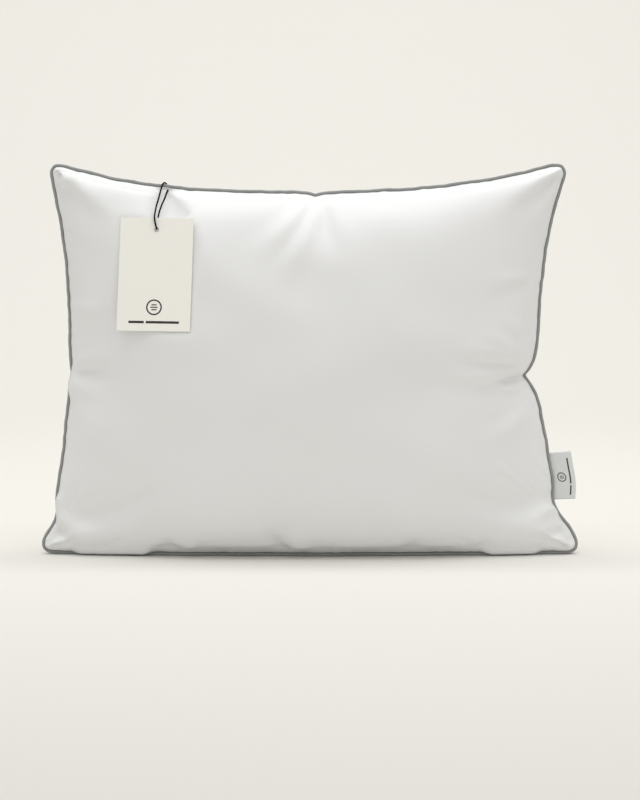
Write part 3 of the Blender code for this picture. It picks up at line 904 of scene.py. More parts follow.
@dataclass(frozen=True)
class Folds:
    """Creases of the cloth where the seam is pinched, drawn in or turned at an ear."""

    front: tuple[Fold, ...] = (
        Fold((0.2595, 0.2206), (0.2180, 0.2185), 0.0075, -0.0050),
        Fold((0.2550, 0.2330), (0.1630, 0.2290), 0.0085, 0.0042, 0.0050),
        Fold((0.2545, 0.2070), (0.2210, 0.2150), 0.0060, 0.0026),
        Fold((0.2565, 0.2010), (0.1870, 0.1990), 0.0120, -0.0026),
        Fold((0.2525, 0.2390), (0.1700, 0.2405), 0.0080, -0.0028),
        Fold((0.2505, 0.2460), (0.1760, 0.2560), 0.0095, 0.0030, -0.0030),
        Fold((0.2535, 0.2540), (0.2060, 0.2800), 0.0085, 0.0026, -0.0020),
        Fold((0.2590, 0.2790), (0.2280, 0.2970), 0.0090, 0.0018),
        Fold((0.2625, 0.1770), (0.1980, 0.1400), 0.0140, 0.0028, 0.0060),
        Fold((0.2585, 0.1880), (0.1890, 0.1640), 0.0140, -0.0022, 0.0050),
        Fold((0.2640, 0.3460), (0.2140, 0.3350), 0.0100, 0.0018),
        Fold((0.2640, 0.3340), (0.2190, 0.3210), 0.0090, -0.0018),
        Fold((0.2980, 0.0590), (0.2560, 0.0420), 0.0090, 0.0040, 0.0030),
        Fold((0.3190, 0.0330), (0.2700, 0.0110), 0.0080, -0.0048),
        Fold((0.2960, 0.0720), (0.2400, 0.0660), 0.0130, -0.0022),
        Fold((0.0074, 0.4470), (-0.0500, 0.3550), 0.0100, -0.0036, 0.0030),
        Fold((0.0000, 0.4430), (-0.0420, 0.3880), 0.0090, 0.0028, 0.0030),
        Fold((0.0130, 0.4430), (-0.0300, 0.3450), 0.0110, 0.0030, 0.0030),
        Fold((0.0150, 0.4450), (0.0240, 0.3700), 0.0110, -0.0026),
        Fold((0.0230, 0.4420), (0.0450, 0.3820), 0.0110, 0.0022),
        Fold((-0.0130, 0.4450), (-0.0850, 0.3880), 0.0120, -0.0022, 0.0040),
        Fold((-0.2955, 0.2268), (-0.2455, 0.2310), 0.0070, -0.0036),
        Fold((-0.2945, 0.2390), (-0.2405, 0.2510), 0.0090, 0.0022),
        Fold((-0.2945, 0.2120), (-0.2455, 0.1980), 0.0090, 0.0024),
        Fold((-0.2880, 0.3100), (-0.2500, 0.3020), 0.0090, 0.0018),
        Fold((-0.3190, 0.4540), (-0.2750, 0.4780), 0.0075, 0.0034),
        Fold((-0.3230, 0.4680), (-0.3010, 0.4780), 0.0060, -0.0034),
        Fold((-0.3080, 0.4540), (-0.2450, 0.4020), 0.0120, -0.0028),
        Fold((0.3060, 0.4700), (0.2560, 0.4180), 0.0110, -0.0034),
        Fold((0.2980, 0.4720), (0.2300, 0.4460), 0.0110, 0.0024),
        Fold((0.3050, 0.4560), (0.2700, 0.4020), 0.0100, 0.0020),
        Fold((-0.3230, 0.0360), (-0.2860, 0.0110), 0.0075, -0.0048),
        Fold((-0.3120, 0.0450), (-0.2600, 0.0230), 0.0100, 0.0036),
        Fold((-0.1560, 0.0030), (-0.1860, 0.0210), 0.0075, -0.0042),
        Fold((-0.1420, 0.0040), (-0.1600, 0.0280), 0.0100, 0.0028),
        Fold((-0.0240, 0.0030), (-0.0560, 0.0340), 0.0085, -0.0046),
        Fold((-0.0070, 0.0040), (-0.0260, 0.0400), 0.0110, 0.0028),
        Fold((0.1110, 0.0030), (0.1390, 0.0230), 0.0080, -0.0036),
        Fold((0.2060, 0.0030), (0.2230, 0.0230), 0.0080, -0.0026),
    )
    back: tuple[Fold, ...] = (
        Fold((0.2595, 0.2206), (0.2060, 0.2260), 0.0085, -0.0050),
        Fold((0.2565, 0.2370), (0.1710, 0.2480), 0.0110, 0.0036),
        Fold((0.2565, 0.2040), (0.1860, 0.1900), 0.0110, 0.0032),
        Fold((0.2585, 0.2540), (0.1940, 0.2820), 0.0120, -0.0024),
        Fold((-0.2955, 0.2268), (-0.2305, 0.2210), 0.0080, -0.0040),
        Fold((-0.2945, 0.2400), (-0.2255, 0.2580), 0.0110, 0.0026),
        Fold((-0.2945, 0.2100), (-0.2355, 0.1890), 0.0110, 0.0026),
        Fold((0.0074, 0.4470), (0.0450, 0.3600), 0.0100, -0.0036),
        Fold((-0.0050, 0.4440), (0.0150, 0.3550), 0.0110, 0.0028),
        Fold((0.0200, 0.4440), (0.0800, 0.3850), 0.0110, 0.0024),
        Fold((0.3060, 0.4700), (0.2400, 0.4100), 0.0120, -0.0034),
        Fold((-0.3100, 0.4680), (-0.2450, 0.4080), 0.0120, -0.0034),
        Fold((0.3190, 0.0360), (0.2600, 0.0700), 0.0110, -0.0036),
        Fold((-0.3190, 0.0380), (-0.2600, 0.0720), 0.0110, -0.0036),
    )

    def over(self, face: Face, x: np.ndarray, z: np.ndarray) -> np.ndarray:
        """Height of all the folds of a panel."""
        return sum(fold.lift(x, z) for fold in getattr(self, face.name.lower()))


@dataclass(frozen=True)
class Hidden:
    """Stretch of seam where the front cloth bulges over the piping."""

    side: Side
    low: float
    high: float
    reach: float


@dataclass
class Panels:
    """Front and back cloth, inflated together along the pinned seam."""

    line: SeamLine
    grid: CutGrid
    coarse: int = 2
    flat_wide: float = 0.700
    flat_tall: float = 0.500
    half_depth: float = 0.0920
    ear_puff: float = 0.0080
    sink: float = 0.0620
    floor_row: float = 0.13
    cloth: float = 0.0005
    pressure: float = 20.0
    frames: int = 24
    cap: float = 0.025
    ease: float = 1.05
    kept_swell: float = 0.0
    lumps: int = 26
    lump_pitch: tuple[float, float] = (0.07, 0.20)
    lump_rise: float = 0.0014 * 2.2
    roll: tuple[float, float] = (0.0032, 0.0033)
    folds: Folds = Folds()
    hidden: tuple[Hidden, ...] = (
        Hidden(Side.LEFT, 0.196, 0.233, 0.0046),
        Hidden(Side.LEFT, 0.044, 0.073, 0.0050),
        Hidden(Side.RIGHT, 0.049, 0.060, 0.0046),
        Hidden(Side.BOTTOM, -0.293, -0.199, 0.0060),
        Hidden(Side.BOTTOM, 0.217, 0.285, 0.0060),
    )
    front: np.ndarray = field(init=False)
    back: np.ndarray = field(init=False)

    def plan(self, step: int = 1) -> tuple[np.ndarray, np.ndarray]:
        """Grid places s and t, at every so many lines of the grid."""
        s = np.linspace(0, 1, self.grid.columns // step + 1)[:, None]
        t = np.linspace(0, 1, self.grid.rows // step + 1)[None, :]
        return np.broadcast_arrays(s, t)

    def sheet(self, step: int) -> np.ndarray:
        """Middle sheet that spans the seam line."""
        line, nx, nz = self.line, self.grid.columns // step, self.grid.rows // step

        def edge(side: Side, count: int) -> np.ndarray:
            inward = line.run(side)[2] * line.seam_in
            return np.array([line.sharp(side, k / count) + inward for k in range(count + 1)])

        low, high = edge(Side.BOTTOM, nx)[:, None], edge(Side.TOP, nx)[:, None]
        left, right = edge(Side.LEFT, nz)[None], edge(Side.RIGHT, nz)[None]
        s, t = (v[..., None] for v in self.plan(step))
        across = (1 - t) * low + t * high
        upward = (1 - s) * left + s * right
        corners = (1 - s) * ((1 - t) * low[:1] + t * high[:1])
        corners = corners + s * ((1 - t) * low[-1:] + t * high[-1:])
        xz = across + upward - corners
        y = line.forward_shift(*self.plan(step))
        return np.stack([xz[..., 0], y, xz[..., 1]], axis=-1)

    def depth(self, face: Face, step: int) -> np.ndarray:
        """Bulge of a panel over the grid."""
        s, t = self.plan(step)
        q, r = np.abs(2 * s - 1), 2 * t - 1
        low = 0.66 if face is Face.FRONT else 0.60
        up = np.where(r < 0, (1 - np.abs(r) ** 2.2) ** low, (1 - np.abs(r) ** 2.2) ** 0.75)
        across = (1 - q ** 2.4) ** 0.75
        rim = (1 - q ** 40) ** 0.5 * (1 - np.abs(r) ** 40) ** 0.5
        crown = self.half_depth - self.line.seam_out - self.ear_puff
        return crown * across * up + self.ear_puff * rim

    def start_shape(self, face: Face, step: int) -> np.ndarray:
        """Panel before the cloth settles: the body's plain bulge."""
        base = self.sheet(step)
        s, t = self.plan(step)
        base[..., 1] += face.value * (self.depth(face, step) + self.line.seam_out)
        if face is Face.BACK:
            settle = self.sink * (1 - smooth(self.floor_row, 0.7, t))
            base[..., 2] -= settle * (1 - np.abs(2 * s - 1) ** 6)
        base[..., 2] = np.maximum(base[..., 2], self.cloth)
        return base

    def closed_mesh(self, ring: Ring, step: int) -> tuple[np.ndarray, list, np.ndarray]:
        """Both panels as one mesh that shares the seam's vertices.

        Args:
            ring: seam stations at the grid's edge.
            step: which lines of the grid are used.

        Returns:
            Points, faces, and the two panels' vertex numbers.
        """
        grid = CutGrid(self.grid.columns // step, self.grid.rows // step)
        nx, nz = grid.columns, grid.rows
        seam = ring.at(self.line.seam_in, 0.0)
        shapes = [self.start_shape(face, step) for face in (Face.FRONT, Face.BACK)]
        ids = np.full((2, nx + 1, nz + 1), -1)
        for k, (i, j) in enumerate(grid.cells()):
            ids[:, i, j] = k
        inner = (nx - 1) * (nz - 1)
        for p in range(2):
            first = len(seam) + p * inner
            ids[p, 1:-1, 1:-1] = first + np.arange(inner).reshape(nx - 1, nz - 1)
        points = np.concatenate([seam] + [shape[1:-1, 1:-1].reshape(-1, 3)
                                          for shape in shapes])
        faces = []
        for p in range(2):
            for i in range(nx):
                for j in range(nz):
                    quad = (ids[p, i, j], ids[p, i + 1, j], ids[p, i + 1, j + 1],
                            ids[p, i, j + 1])
                    faces.append(tuple(int(v) for v in (quad if p == 0 else quad[::-1])))
        return points, faces, ids

    def inflate(self, ring: Ring) -> None:
        """Let the two panels fill with air inside their pinned seam.

        Args:
            ring: seam stations at the fine grid's edge.
        """
        points, faces, ids = self.closed_mesh(coarser(ring, self.coarse), self.coarse)
        blank = bpy.data.materials.new("casing_blank")
        obj = mesh_object("casing_blank", points, faces, blank)
        pins = obj.vertex_groups.new(name="seam")
        pins.add(list(range(len(ring.centre) // self.coarse)), 1.0, "REPLACE")
        obj.shape_key_add(name="Basis")
        rest = obj.shape_key_add(name="cut_with_ease")
        middle = points.mean(axis=0)
        eased = middle + (points - middle) * self.ease
        rest.data.foreach_set("co", eased.astype(np.float32).ravel())
        cloth = obj.modifiers.new("inflate", "CLOTH")
        settings = cloth.settings
        settings.quality = 6
        settings.mass = 0.05
        settings.air_damping = 1.0
        settings.tension_stiffness = 40.0
        settings.compression_stiffness = 10.0
        settings.shear_stiffness = 5.0
        settings.bending_stiffness = 0.05
        settings.vertex_group_mass = "seam"
        settings.pin_stiffness = 1.0
        settings.use_pressure = True
        settings.uniform_pressure_force = self.pressure
        settings.rest_shape_key = rest
        settings.effector_weights.gravity = 0.0
        cloth.collision_settings.use_collision = False
        cloth.point_cache.frame_start = 1
        cloth.point_cache.frame_end = self.frames
        scene = bpy.context.scene
        for number in range(1, self.frames + 1):
            scene.frame_set(number)
        graph = bpy.context.evaluated_depsgraph_get()
        done = obj.evaluated_get(graph).to_mesh()
        moved = np.empty(len(done.vertices) * 3, np.float32)
        done.vertices.foreach_get("co", moved)
        moved = moved.reshape(-1, 3).astype(float)
        obj.evaluated_get(graph).to_mesh_clear()
        scene.frame_set(1)
        mesh = obj.data
        bpy.data.objects.remove(obj)
        bpy.data.meshes.remove(mesh)
        bpy.data.materials.remove(blank)
        shift = moved - points
        size = np.linalg.norm(shift, axis=1, keepdims=True)
        LOG.info("cloth moved %.1f mm on average, %.1f mm at most", 1000 * size.mean(),
                 1000 * size.max())
        shift *= np.minimum(1.0, self.cap / np.maximum(size, 1e-9))
        self.front = self.start_shape(Face.FRONT, 1)
        self.back = self.start_shape(Face.BACK, 1)
        broad_rounds = 60
        for shape, cells in ((self.front, ids[0]), (self.back, ids[1])):
            wrinkles = shift[cells]
            broad = self.blurred(wrinkles, broad_rounds)
            shape += self.upsampled(wrinkles - (1 - self.kept_swell) * broad)

    @staticmethod
    def blurred(values: np.ndarray, rounds: int) -> np.ndarray:
        """Broad part of a field over the grid."""
        out = values.copy()
        for _ in range(rounds):
            wide = np.pad(out, ((1, 1), (1, 1), (0, 0)), mode="edge")
            near = wide[2:, 1:-1] + wide[:-2, 1:-1] + wide[1:-1, 2:] + wide[1:-1, :-2]
            out = 0.4 * out + 0.15 * near
        return out

    def upsampled(self, values: np.ndarray) -> np.ndarray:
        """A field on the coarse grid, smoothly read on the fine one."""
        for _ in range(2):
            rows, columns = values.shape[:2]
            dense = catmull(values.reshape(rows, -1), self.coarse, closed=False)
            values = dense.reshape(-1, columns, 3).transpose(1, 0, 2)
        return values

    @staticmethod
    def outward(shape: np.ndarray, face: Face) -> np.ndarray:
        """Unit normals of a panel that point away from the filling."""
        normal = unit(np.cross(np.gradient(shape, axis=0), np.gradient(shape, axis=1)))
        middle = normal[shape.shape[0] // 2, shape.shape[1] // 2, 1]
        return normal * (1.0 if middle * face.value > 0 else -1.0)

    def edge_rows(self) -> np.ndarray:
        """How many grid lines each place is from the seam."""
        nx, nz = self.grid.columns, self.grid.rows
        i, j = np.meshgrid(np.arange(nx + 1), np.arange(nz + 1), indexing="ij")
        return np.minimum(np.minimum(i, nx - i), np.minimum(j, nz - j))

    def crease(self) -> None:
        """Add the folds and the faint unevenness of the filling."""
        rng = np.random.default_rng(5)
        calm = smooth(0, 14, self.edge_rows())
        for shape, face in ((self.front, Face.FRONT), (self.back, Face.BACK)):
            x, z = shape[..., 0], shape[..., 2]
            high = self.folds.over(face, x, z) * smooth(-0.5, 3.0, self.edge_rows())
            for _ in range(self.lumps):
                turn = rng.uniform(0, 2 * math.pi)
                pitch = rng.uniform(*self.lump_pitch)
                wave = (x * math.cos(turn) + z * math.sin(turn)) / pitch + rng.random()
                high = high + calm * self.lump_rise * pitch * np.sin(2 * math.pi * wave)
            shape += high[..., None] * self.outward(shape, face)

    def near_station(self) -> np.ndarray:
        """Number of the seam station nearest to each place of the grid."""
        nx, nz = self.grid.columns, self.grid.rows
        i, j = np.meshgrid(np.arange(nx + 1), np.arange(nz + 1), indexing="ij")
        side = np.stack([i, nx - i, j, nz - j]).argmin(axis=0)
        edge_i = np.where(side == 0, 0, np.where(side == 1, nx, i))
        edge_j = np.where(side == 2, 0, np.where(side == 3, nz, j))
        order = np.full((nx + 1, nz + 1), -1)
        for k, cell in enumerate(self.grid.cells()):
            order[cell] = k
        return order[edge_i, edge_j]

    def overhang(self, ring: Ring, face: Face) -> np.ndarray:
        """How far the rolled edge of a panel reaches over the piping.

        Args:
            ring: seam stations.
            face: which panel.

        Returns:
            Metres at each station.
        """
        turn = np.arange(len(ring.lift)) / len(ring.lift)
        seed = 41 if face is Face.FRONT else 43
        short_wave = 0.0004 * soft_noise(turn, seed, 90)
        long_wave = 0.0003 * soft_noise(turn, seed + 1, 34)
        usual, most = 0.0006, 0.0016
        reach = np.clip(usual + short_wave + long_wave, 0.0, most)
        x, z = ring.centre[:, 0], ring.centre[:, 2]
        places = {
            Side.BOTTOM: (x, (z < 0.006)),
            Side.LEFT: (z, (x < -0.2)),
            Side.RIGHT: (z, (x > 0.2)),
        }
        ends = 0.010
        for part in self.hidden if face is Face.FRONT else ():
            run, here = places[part.side]
            grow = smooth(part.low - ends, part.low + ends, run)
            grow = grow * smooth(part.high + ends, part.high - ends, run) * here
            reach = np.maximum(reach, part.reach * grow)
        return reach

    def roll_edges(self, ring: Ring) -> None:
        """Roll both panels' edges over the piping and part them there."""
        rows = self.edge_rows()
        station = self.near_station()
        fade = np.exp(-(rows / 2.4) ** 2)
        for shape, face in ((self.front, Face.FRONT), (self.back, Face.BACK)):
            reach = self.overhang(ring, face)
            way = -face.value
            edge = ring.at(self.roll[0] - reach, way * self.roll[1],
                           lifted=face is Face.BACK)
            now = np.empty_like(edge)
            for k, cell in enumerate(self.grid.cells()):
                now[k] = shape[cell]
            shift = edge - now
            spread = (0.9 * reach)[:, None] * -ring.inward
            puff = fade * smooth(0.5, 1.5, rows)
            shape += fade[..., None] * shift[station] + puff[..., None] * spread[station]

    def clear_card(self, tag: "HangTag", string: np.ndarray) -> None:
        """Press the front cloth back where the card and its string lie on it.

        Args:
            tag: the card.
            string: points of the string's middle.
        """
        right, down, front = (np.array(axis) for axis in tag.axes())
        away = self.front - np.array(tag.at)
        x, y = away @ right, away @ down
        outside = np.hypot(np.maximum(np.abs(x) - tag.wide / 2, 0),
                           np.maximum(np.maximum(-tag.drop - y, y - tag.tall + tag.drop), 0))
        flat_rim, soft = 0.002, 0.0008
        card_gap, card_slope, card_reach = 0.0017, 0.55, 0.06
        string_gap, string_slope, string_reach = 0.0016, 0.80, 0.04
        room = -card_gap + card_slope * np.maximum(outside - flat_rim, 0)
        over = away @ front - room
        press = np.where(outside < card_reach, soft * np.logaddexp(0, over / soft), 0)
        before_seam, above_card = string[:, 1] < -0.0075, string[:, 2] > 0.408
        for point in string[before_seam & above_card][::4]:
            flat = np.hypot(self.front[..., 0] - point[0], self.front[..., 2] - point[2])
            least = point[1] + string_gap - string_slope * np.maximum(flat - flat_rim, 0)
            under = np.where(flat < string_reach, least - self.front[..., 1], 0)
            press = np.maximum(press, under)
        press = np.maximum(press, self.blurred(press[..., None], 10)[..., 0])
        self.front -= press[..., None] * front

    def settle(self) -> None:
        """Rest the cloth on the floor."""
        for shape in (self.front, self.back):
            shape[..., 2] = np.maximum(shape[..., 2], self.cloth)

    def build(self, face: Face, ring: Ring, finish: bpy.types.Material) -> bpy.types.Object:
        """One panel as cloth with a thickness, folded into the seam.

        Args:
            face: which panel.
            ring: seam stations at the grid's edge.
            finish: its material.

        Returns:
            The panel.
        """
        shape = self.front if face is Face.FRONT else self.back
        nx, nz = self.grid.columns, self.grid.rows
        points = list(shape.reshape(-1, 3))
        s, t = self.plan()
        uv = list(np.stack([s * self.flat_wide, t * self.flat_tall], axis=-1).reshape(-1, 2))

        def number(i: int, j: int) -> int:
            return i * (nz + 1) + j

        faces = []
        for i in range(nx):
            for j in range(nz):
                quad = (number(i, j), number(i + 1, j), number(i + 1, j + 1), number(i, j + 1))
                faces.append(quad if face is Face.FRONT else quad[::-1])
        outer = [number(i, j) for i, j in self.grid.cells()]
        way = -face.value
        lifted = face is Face.BACK
        fold_w = self.line.flange + 0.0003
        reach = self.overhang(ring, face)
        previous = outer
        edge_uv = np.array([uv[k] for k in outer])
        middle = np.array([0.5 * self.flat_wide, 0.5 * self.flat_tall])
        # From the roll's top, down beside the piping, under its stitch and to the raw edge.
        fold = ((0.0023 - 0.55 * reach, 0.00245), (0.0026, 0.0016), (0.0032, fold_w + 0.0001),
                (self.line.allowance, fold_w))
        for step, (u, w) in enumerate(fold):
            row = ring.at(u, way * w, lifted=lifted)
            row[:, 2] = np.maximum(row[:, 2], self.cloth)
            start = len(points)
            points.extend(row)
            uv.extend(edge_uv + (edge_uv - middle) * 0.004 * (step + 1))
            current = list(range(start, start + len(row)))
            for k in range(len(row)):
                m = (k + 1) % len(row)
                quad = (previous[m], previous[k], current[k], current[m])
                faces.append(quad if face is Face.FRONT else quad[::-1])
            previous = current
        name = "front_cloth" if face is Face.FRONT else "back_cloth"
        obj = mesh_object(name, np.array(points), faces, finish)
        set_uv(obj, np.array(uv))
        solid = obj.modifiers.new("cloth_thickness", "SOLIDIFY")
        solid.thickness = self.cloth
        solid.offset = -1.0
        solid.use_even_offset = False
        return obj

    def fill(self, finish: bpy.types.Material) -> bpy.types.Object:
        """The filling, a little inside both panels and clear of the seam."""
        stride, inset, high_lines = 5, 2, 36
        under_cloth, off_floor = 0.0035, 0.0012
        picked = []
        for shape, face in ((self.front, Face.FRONT), (self.back, Face.BACK)):
            inner = shape - under_cloth * self.outward(shape, face)
            inner[..., 2] = np.maximum(inner[..., 2], self.cloth + off_floor)
            rows = np.arange(0, shape.shape[0], stride)
            columns = np.linspace(0, shape.shape[1] - 1, high_lines).round().astype(int)
            picked.append(inner[np.ix_(rows, columns)][inset:-inset, inset:-inset])
        front, back = picked
        nx, nz = front.shape[0] - 1, front.shape[1] - 1
        count = (nx + 1) * (nz + 1)
        points = np.concatenate([front.reshape(-1, 3), back.reshape(-1, 3)])
        faces = []
        for p in range(2):
            for i in range(nx):
                for j in range(nz):
                    a = p * count + i * (nz + 1) + j
                    quad = (a, a + nz + 1, a + nz + 2, a + 1)
                    faces.append(quad if p == 0 else quad[::-1])
        edge = [i * (nz + 1) + j for i, j in CutGrid(nx, nz).cells()]
        for k in range(len(edge)):
            a, b = edge[k], edge[(k + 1) % len(edge)]
            faces.append((b, a, a + count, b + count))
        obj = mesh_object("fibre_filling", points, faces, finish)
        face_out(obj)
        subdivide(obj, 1)
        return obj


# ------------------------------------------------------------------ piping


@dataclass
class Piping:
    """Bias strip wrapped round its filler cord, with both edges in the seam."""

    line: SeamLine
    strip: float = 0.00035
    cord_radius: float = 0.00135
    sides: int = 12
    per: int = 2

    def build(self, ring: Ring, cloth: bpy.types.Material,
              cord: bpy.types.Material) -> tuple[bpy.types.Object, bpy.types.Object]:
        """Strip and filler cord.

        Args:
            ring: seam stations.
            cloth: the strip's material.
            cord: the cord's material.

        Returns:
            The strip, then the cord.
        """
        fine = finer(ring, self.per)
        turn = np.arange(len(fine.lift)) / len(fine.lift)
        swell = 0.96 + 0.03 * soft_noise(turn, 31, 150) + 0.02 * soft_noise(turn, 32, 60)
        half = self.line.flange
        thin = half - self.strip + 0.00005
        section = [(self.line.allowance, half)]
        for radius, level, way in ((self.line.pipe_radius, half, 1),
                                   (self.line.pipe_radius - self.strip, thin, -1)):
            start = math.asin(level / radius)
            angles = np.linspace(start, 2 * math.pi - start, self.sides + 1)[::way]
            section += [(radius * math.cos(a), radius * math.sin(a)) for a in angles]
            section += ([(self.line.allowance, -half), (self.line.allowance, -thin)]
                        if way == 1 else [(self.line.allowance, thin)])
        rings = []
        for u, w in section:
            grow = np.where(u < 0.0025, swell, 1.0)
            rings.append(fine.at(u * grow, w * grow))
            rings[-1][:, 2] = np.maximum(rings[-1][:, 2], 0.0)
        length = float(np.linalg.norm(np.roll(fine.centre, -1, 0) - fine.centre, axis=1).sum())
        cover = swept("piping_strip", rings, True, cloth, (length, 0.030))
        angles = np.linspace(0, 2 * math.pi, 10, endpoint=False)
        core = [fine.at(self.cord_radius * math.cos(a), self.cord_radius * math.sin(a))
                for a in angles]
        inner = swept("piping_filler_cord", core, True, cord, (length, 1.0))
        return cover, inner


# ------------------------------------------------------------------ seam threads


@dataclass
class SeamThreads:
    """Lockstitch and overlock threads, repeated along the seam by Geometry Nodes."""

    line: SeamLine
    stitch: float = 0.0030
    radius: float = 0.00022
    loop_pitch: float = 0.0032
    layer_gap: float = 0.0003
    cloth: float = 0.0006

    def path(self, name: str, rows: np.ndarray) -> bpy.types.Object:
        """Closed guide curve through rows of points."""
        curve = bpy.data.curves.new(name, "CURVE")
        curve.dimensions = "3D"
        spline = curve.splines.new("POLY")
        spline.points.add(len(rows) - 1)
        spline.points.foreach_set("co", np.c_[rows, np.ones(len(rows))].astype(np.float32)
                                  .ravel())
        spline.use_cyclic_u = True
        obj = bpy.data.objects.new(name, curve)
        bpy.context.scene.collection.objects.link(obj)
        return obj

    def tree(self, name: str, finish: bpy.types.Material, hoop: bool) -> bpy.types.NodeTree:
        """Geometry Nodes that lay one shape after another along the guide.

        Args:
            name: the tree's name.
            finish: material of the threads.
            hoop: loops round the edge instead of short straight stitches.

        Returns:
            The tree, with Pitch, Radius, Length and Seed inputs.
        """
        tree = bpy.data.node_groups.new(name, "GeometryNodeTree")
        add = tree.interface.new_socket
        add("Guide", in_out="INPUT", socket_type="NodeSocketGeometry")
        for label, value in (("Pitch", self.loop_pitch if hoop else self.stitch),
                             ("Radius", self.radius), ("Length", 0.0024), ("Uneven", 0.06)):
            add(label, in_out="INPUT", socket_type="NodeSocketFloat").default_value = value
        add("Seed", in_out="INPUT", socket_type="NodeSocketInt").default_value = 7
        add("Threads", in_out="OUTPUT", socket_type="NodeSocketGeometry")
        maker = GroupMaker(tree)
        source, out = maker.node("NodeGroupInput"), maker.node("NodeGroupOutput")
        spread = maker.node("GeometryNodeCurveToPoints", mode="LENGTH")
        maker.join(source.outputs["Guide"], spread.inputs["Curve"])
        maker.join(source.outputs["Pitch"], spread.inputs["Length"])
        if hoop:
            base = maker.node("GeometryNodeCurvePrimitiveCircle")
            base.inputs["Resolution"].default_value = 10
            maker.join(source.outputs["Length"], base.inputs["Radius"])
        else:
            base = maker.node("GeometryNodeCurvePrimitiveLine", mode="DIRECTION")
            base.inputs["Direction"].default_value = (0.0, 0.0, 1.0)
            maker.join(source.outputs["Length"], base.inputs["Length"])
        profile = maker.node("GeometryNodeCurvePrimitiveCircle")
        profile.inputs["Resolution"].default_value = 5
        maker.join(source.outputs["Radius"], profile.inputs["Radius"])
        tube = maker.node("GeometryNodeCurveToMesh")
        tube.inputs["Fill Caps"].default_value = True
        maker.join(base.outputs[0], tube.inputs["Curve"])
        maker.join(profile.outputs[0], tube.inputs["Profile Curve"])
        uneven = maker.node("FunctionNodeRandomValue", data_type="FLOAT")
        low = maker.node("ShaderNodeMath", operation="SUBTRACT")
        low.inputs[0].default_value = 1.0
        high = maker.node("ShaderNodeMath", operation="ADD")
        high.inputs[0].default_value = 1.0
        maker.join(source.outputs["Uneven"], low.inputs[1])
        maker.join(source.outputs["Uneven"], high.inputs[1])
        maker.join(low.outputs[0], uneven.inputs[2])
        maker.join(high.outputs[0], uneven.inputs[3])
        maker.join(source.outputs["Seed"], uneven.inputs["Seed"])
        copies = maker.node("GeometryNodeInstanceOnPoints")
        maker.join(spread.outputs["Points"], copies.inputs["Points"])
        maker.join(tube.outputs[0], copies.inputs["Instance"])
        maker.join(spread.outputs["Rotation"], copies.inputs["Rotation"])
        maker.join(uneven.outputs[1], copies.inputs["Scale"])
        real = maker.node("GeometryNodeRealizeInstances")
        maker.join(copies.outputs[0], real.inputs[0])
        dress = maker.node("GeometryNodeSetMaterial")
        dress.inputs["Material"].default_value = finish
        maker.join(real.outputs[0], dress.inputs["Geometry"])
        maker.join(dress.outputs[0], out.inputs["Threads"])
        return tree

    def lay(self, name: str, rows: np.ndarray, finish: bpy.types.Material, hoop: bool,
            values: dict[str, float]) -> bpy.types.Object:
        """Threads along a guide, as a plain mesh.

        Args:
            name: object name.
            rows: the guide's points.
            finish: the thread's material.
            hoop: loops instead of straight stitches.
            values: inputs that differ from the tree's own.

        Returns:
            The mesh object.
        """
        guide = self.path(name + "_guide", rows)
        tree = self.tree(name + "_nodes", finish, hoop)
        modifier = guide.modifiers.new("threads", "NODES")
        modifier.node_group = tree
        for item in tree.interface.items_tree:
            if item.in_out == "INPUT" and item.name in values:
                modifier[item.identifier] = values[item.name]
        bpy.context.view_layer.update()
        graph = bpy.context.evaluated_depsgraph_get()
        mesh = bpy.data.meshes.new_from_object(guide.evaluated_get(graph))
        mesh.name = name
        mesh.materials.clear()
        mesh.materials.append(finish)
        mesh.polygons.foreach_set("use_smooth", [True] * len(mesh.polygons))
        obj = bpy.data.objects.new(name, mesh)
        bpy.context.scene.collection.objects.link(obj)
        data = guide.data
        bpy.data.objects.remove(guide)
        bpy.data.curves.remove(data)
        co = np.empty(len(mesh.vertices) * 3, np.float32)
        mesh.vertices.foreach_get("co", co)
        co = co.reshape(-1, 3)
        set_uv(obj, np.stack([co[:, 0] + co[:, 2], 400 * co[:, 1]], axis=1))
        return obj

    def build(self, ring: Ring, wardrobe: dict[str, bpy.types.Material]
              ) -> list[tuple[bpy.types.Object, str]]:
        """Needle, bobbin and overlock threads with the CAD node each stands for."""
        away = self.line.flange + self.layer_gap + self.cloth + self.layer_gap + self.radius
        needle = ring.at(self.line.stitch_in, away)
        bobbin = ring.at(self.line.stitch_in, -away, lifted=True)
        middle = ring.at(self.line.allowance, -0.5 * ring.lift)
        made = []
        for name, rows, key in (("needle_stitches", needle, "needle"),
                                ("bobbin_stitches", bobbin, "bobbin")):
            obj = self.lay(name, rows, wardrobe[key], False, {"Length": 0.0026, "Seed": 3})
            made.append((obj, key + "_thread"))
        loops = self.lay("overlock_loops", middle, wardrobe["overlock"], True,
                         {"Length": 0.0021, "Radius": 0.00022, "Seed": 5})
        made.append((loops, "overlock_thread"))
        return made


# ------------------------------------------------------------------ side label


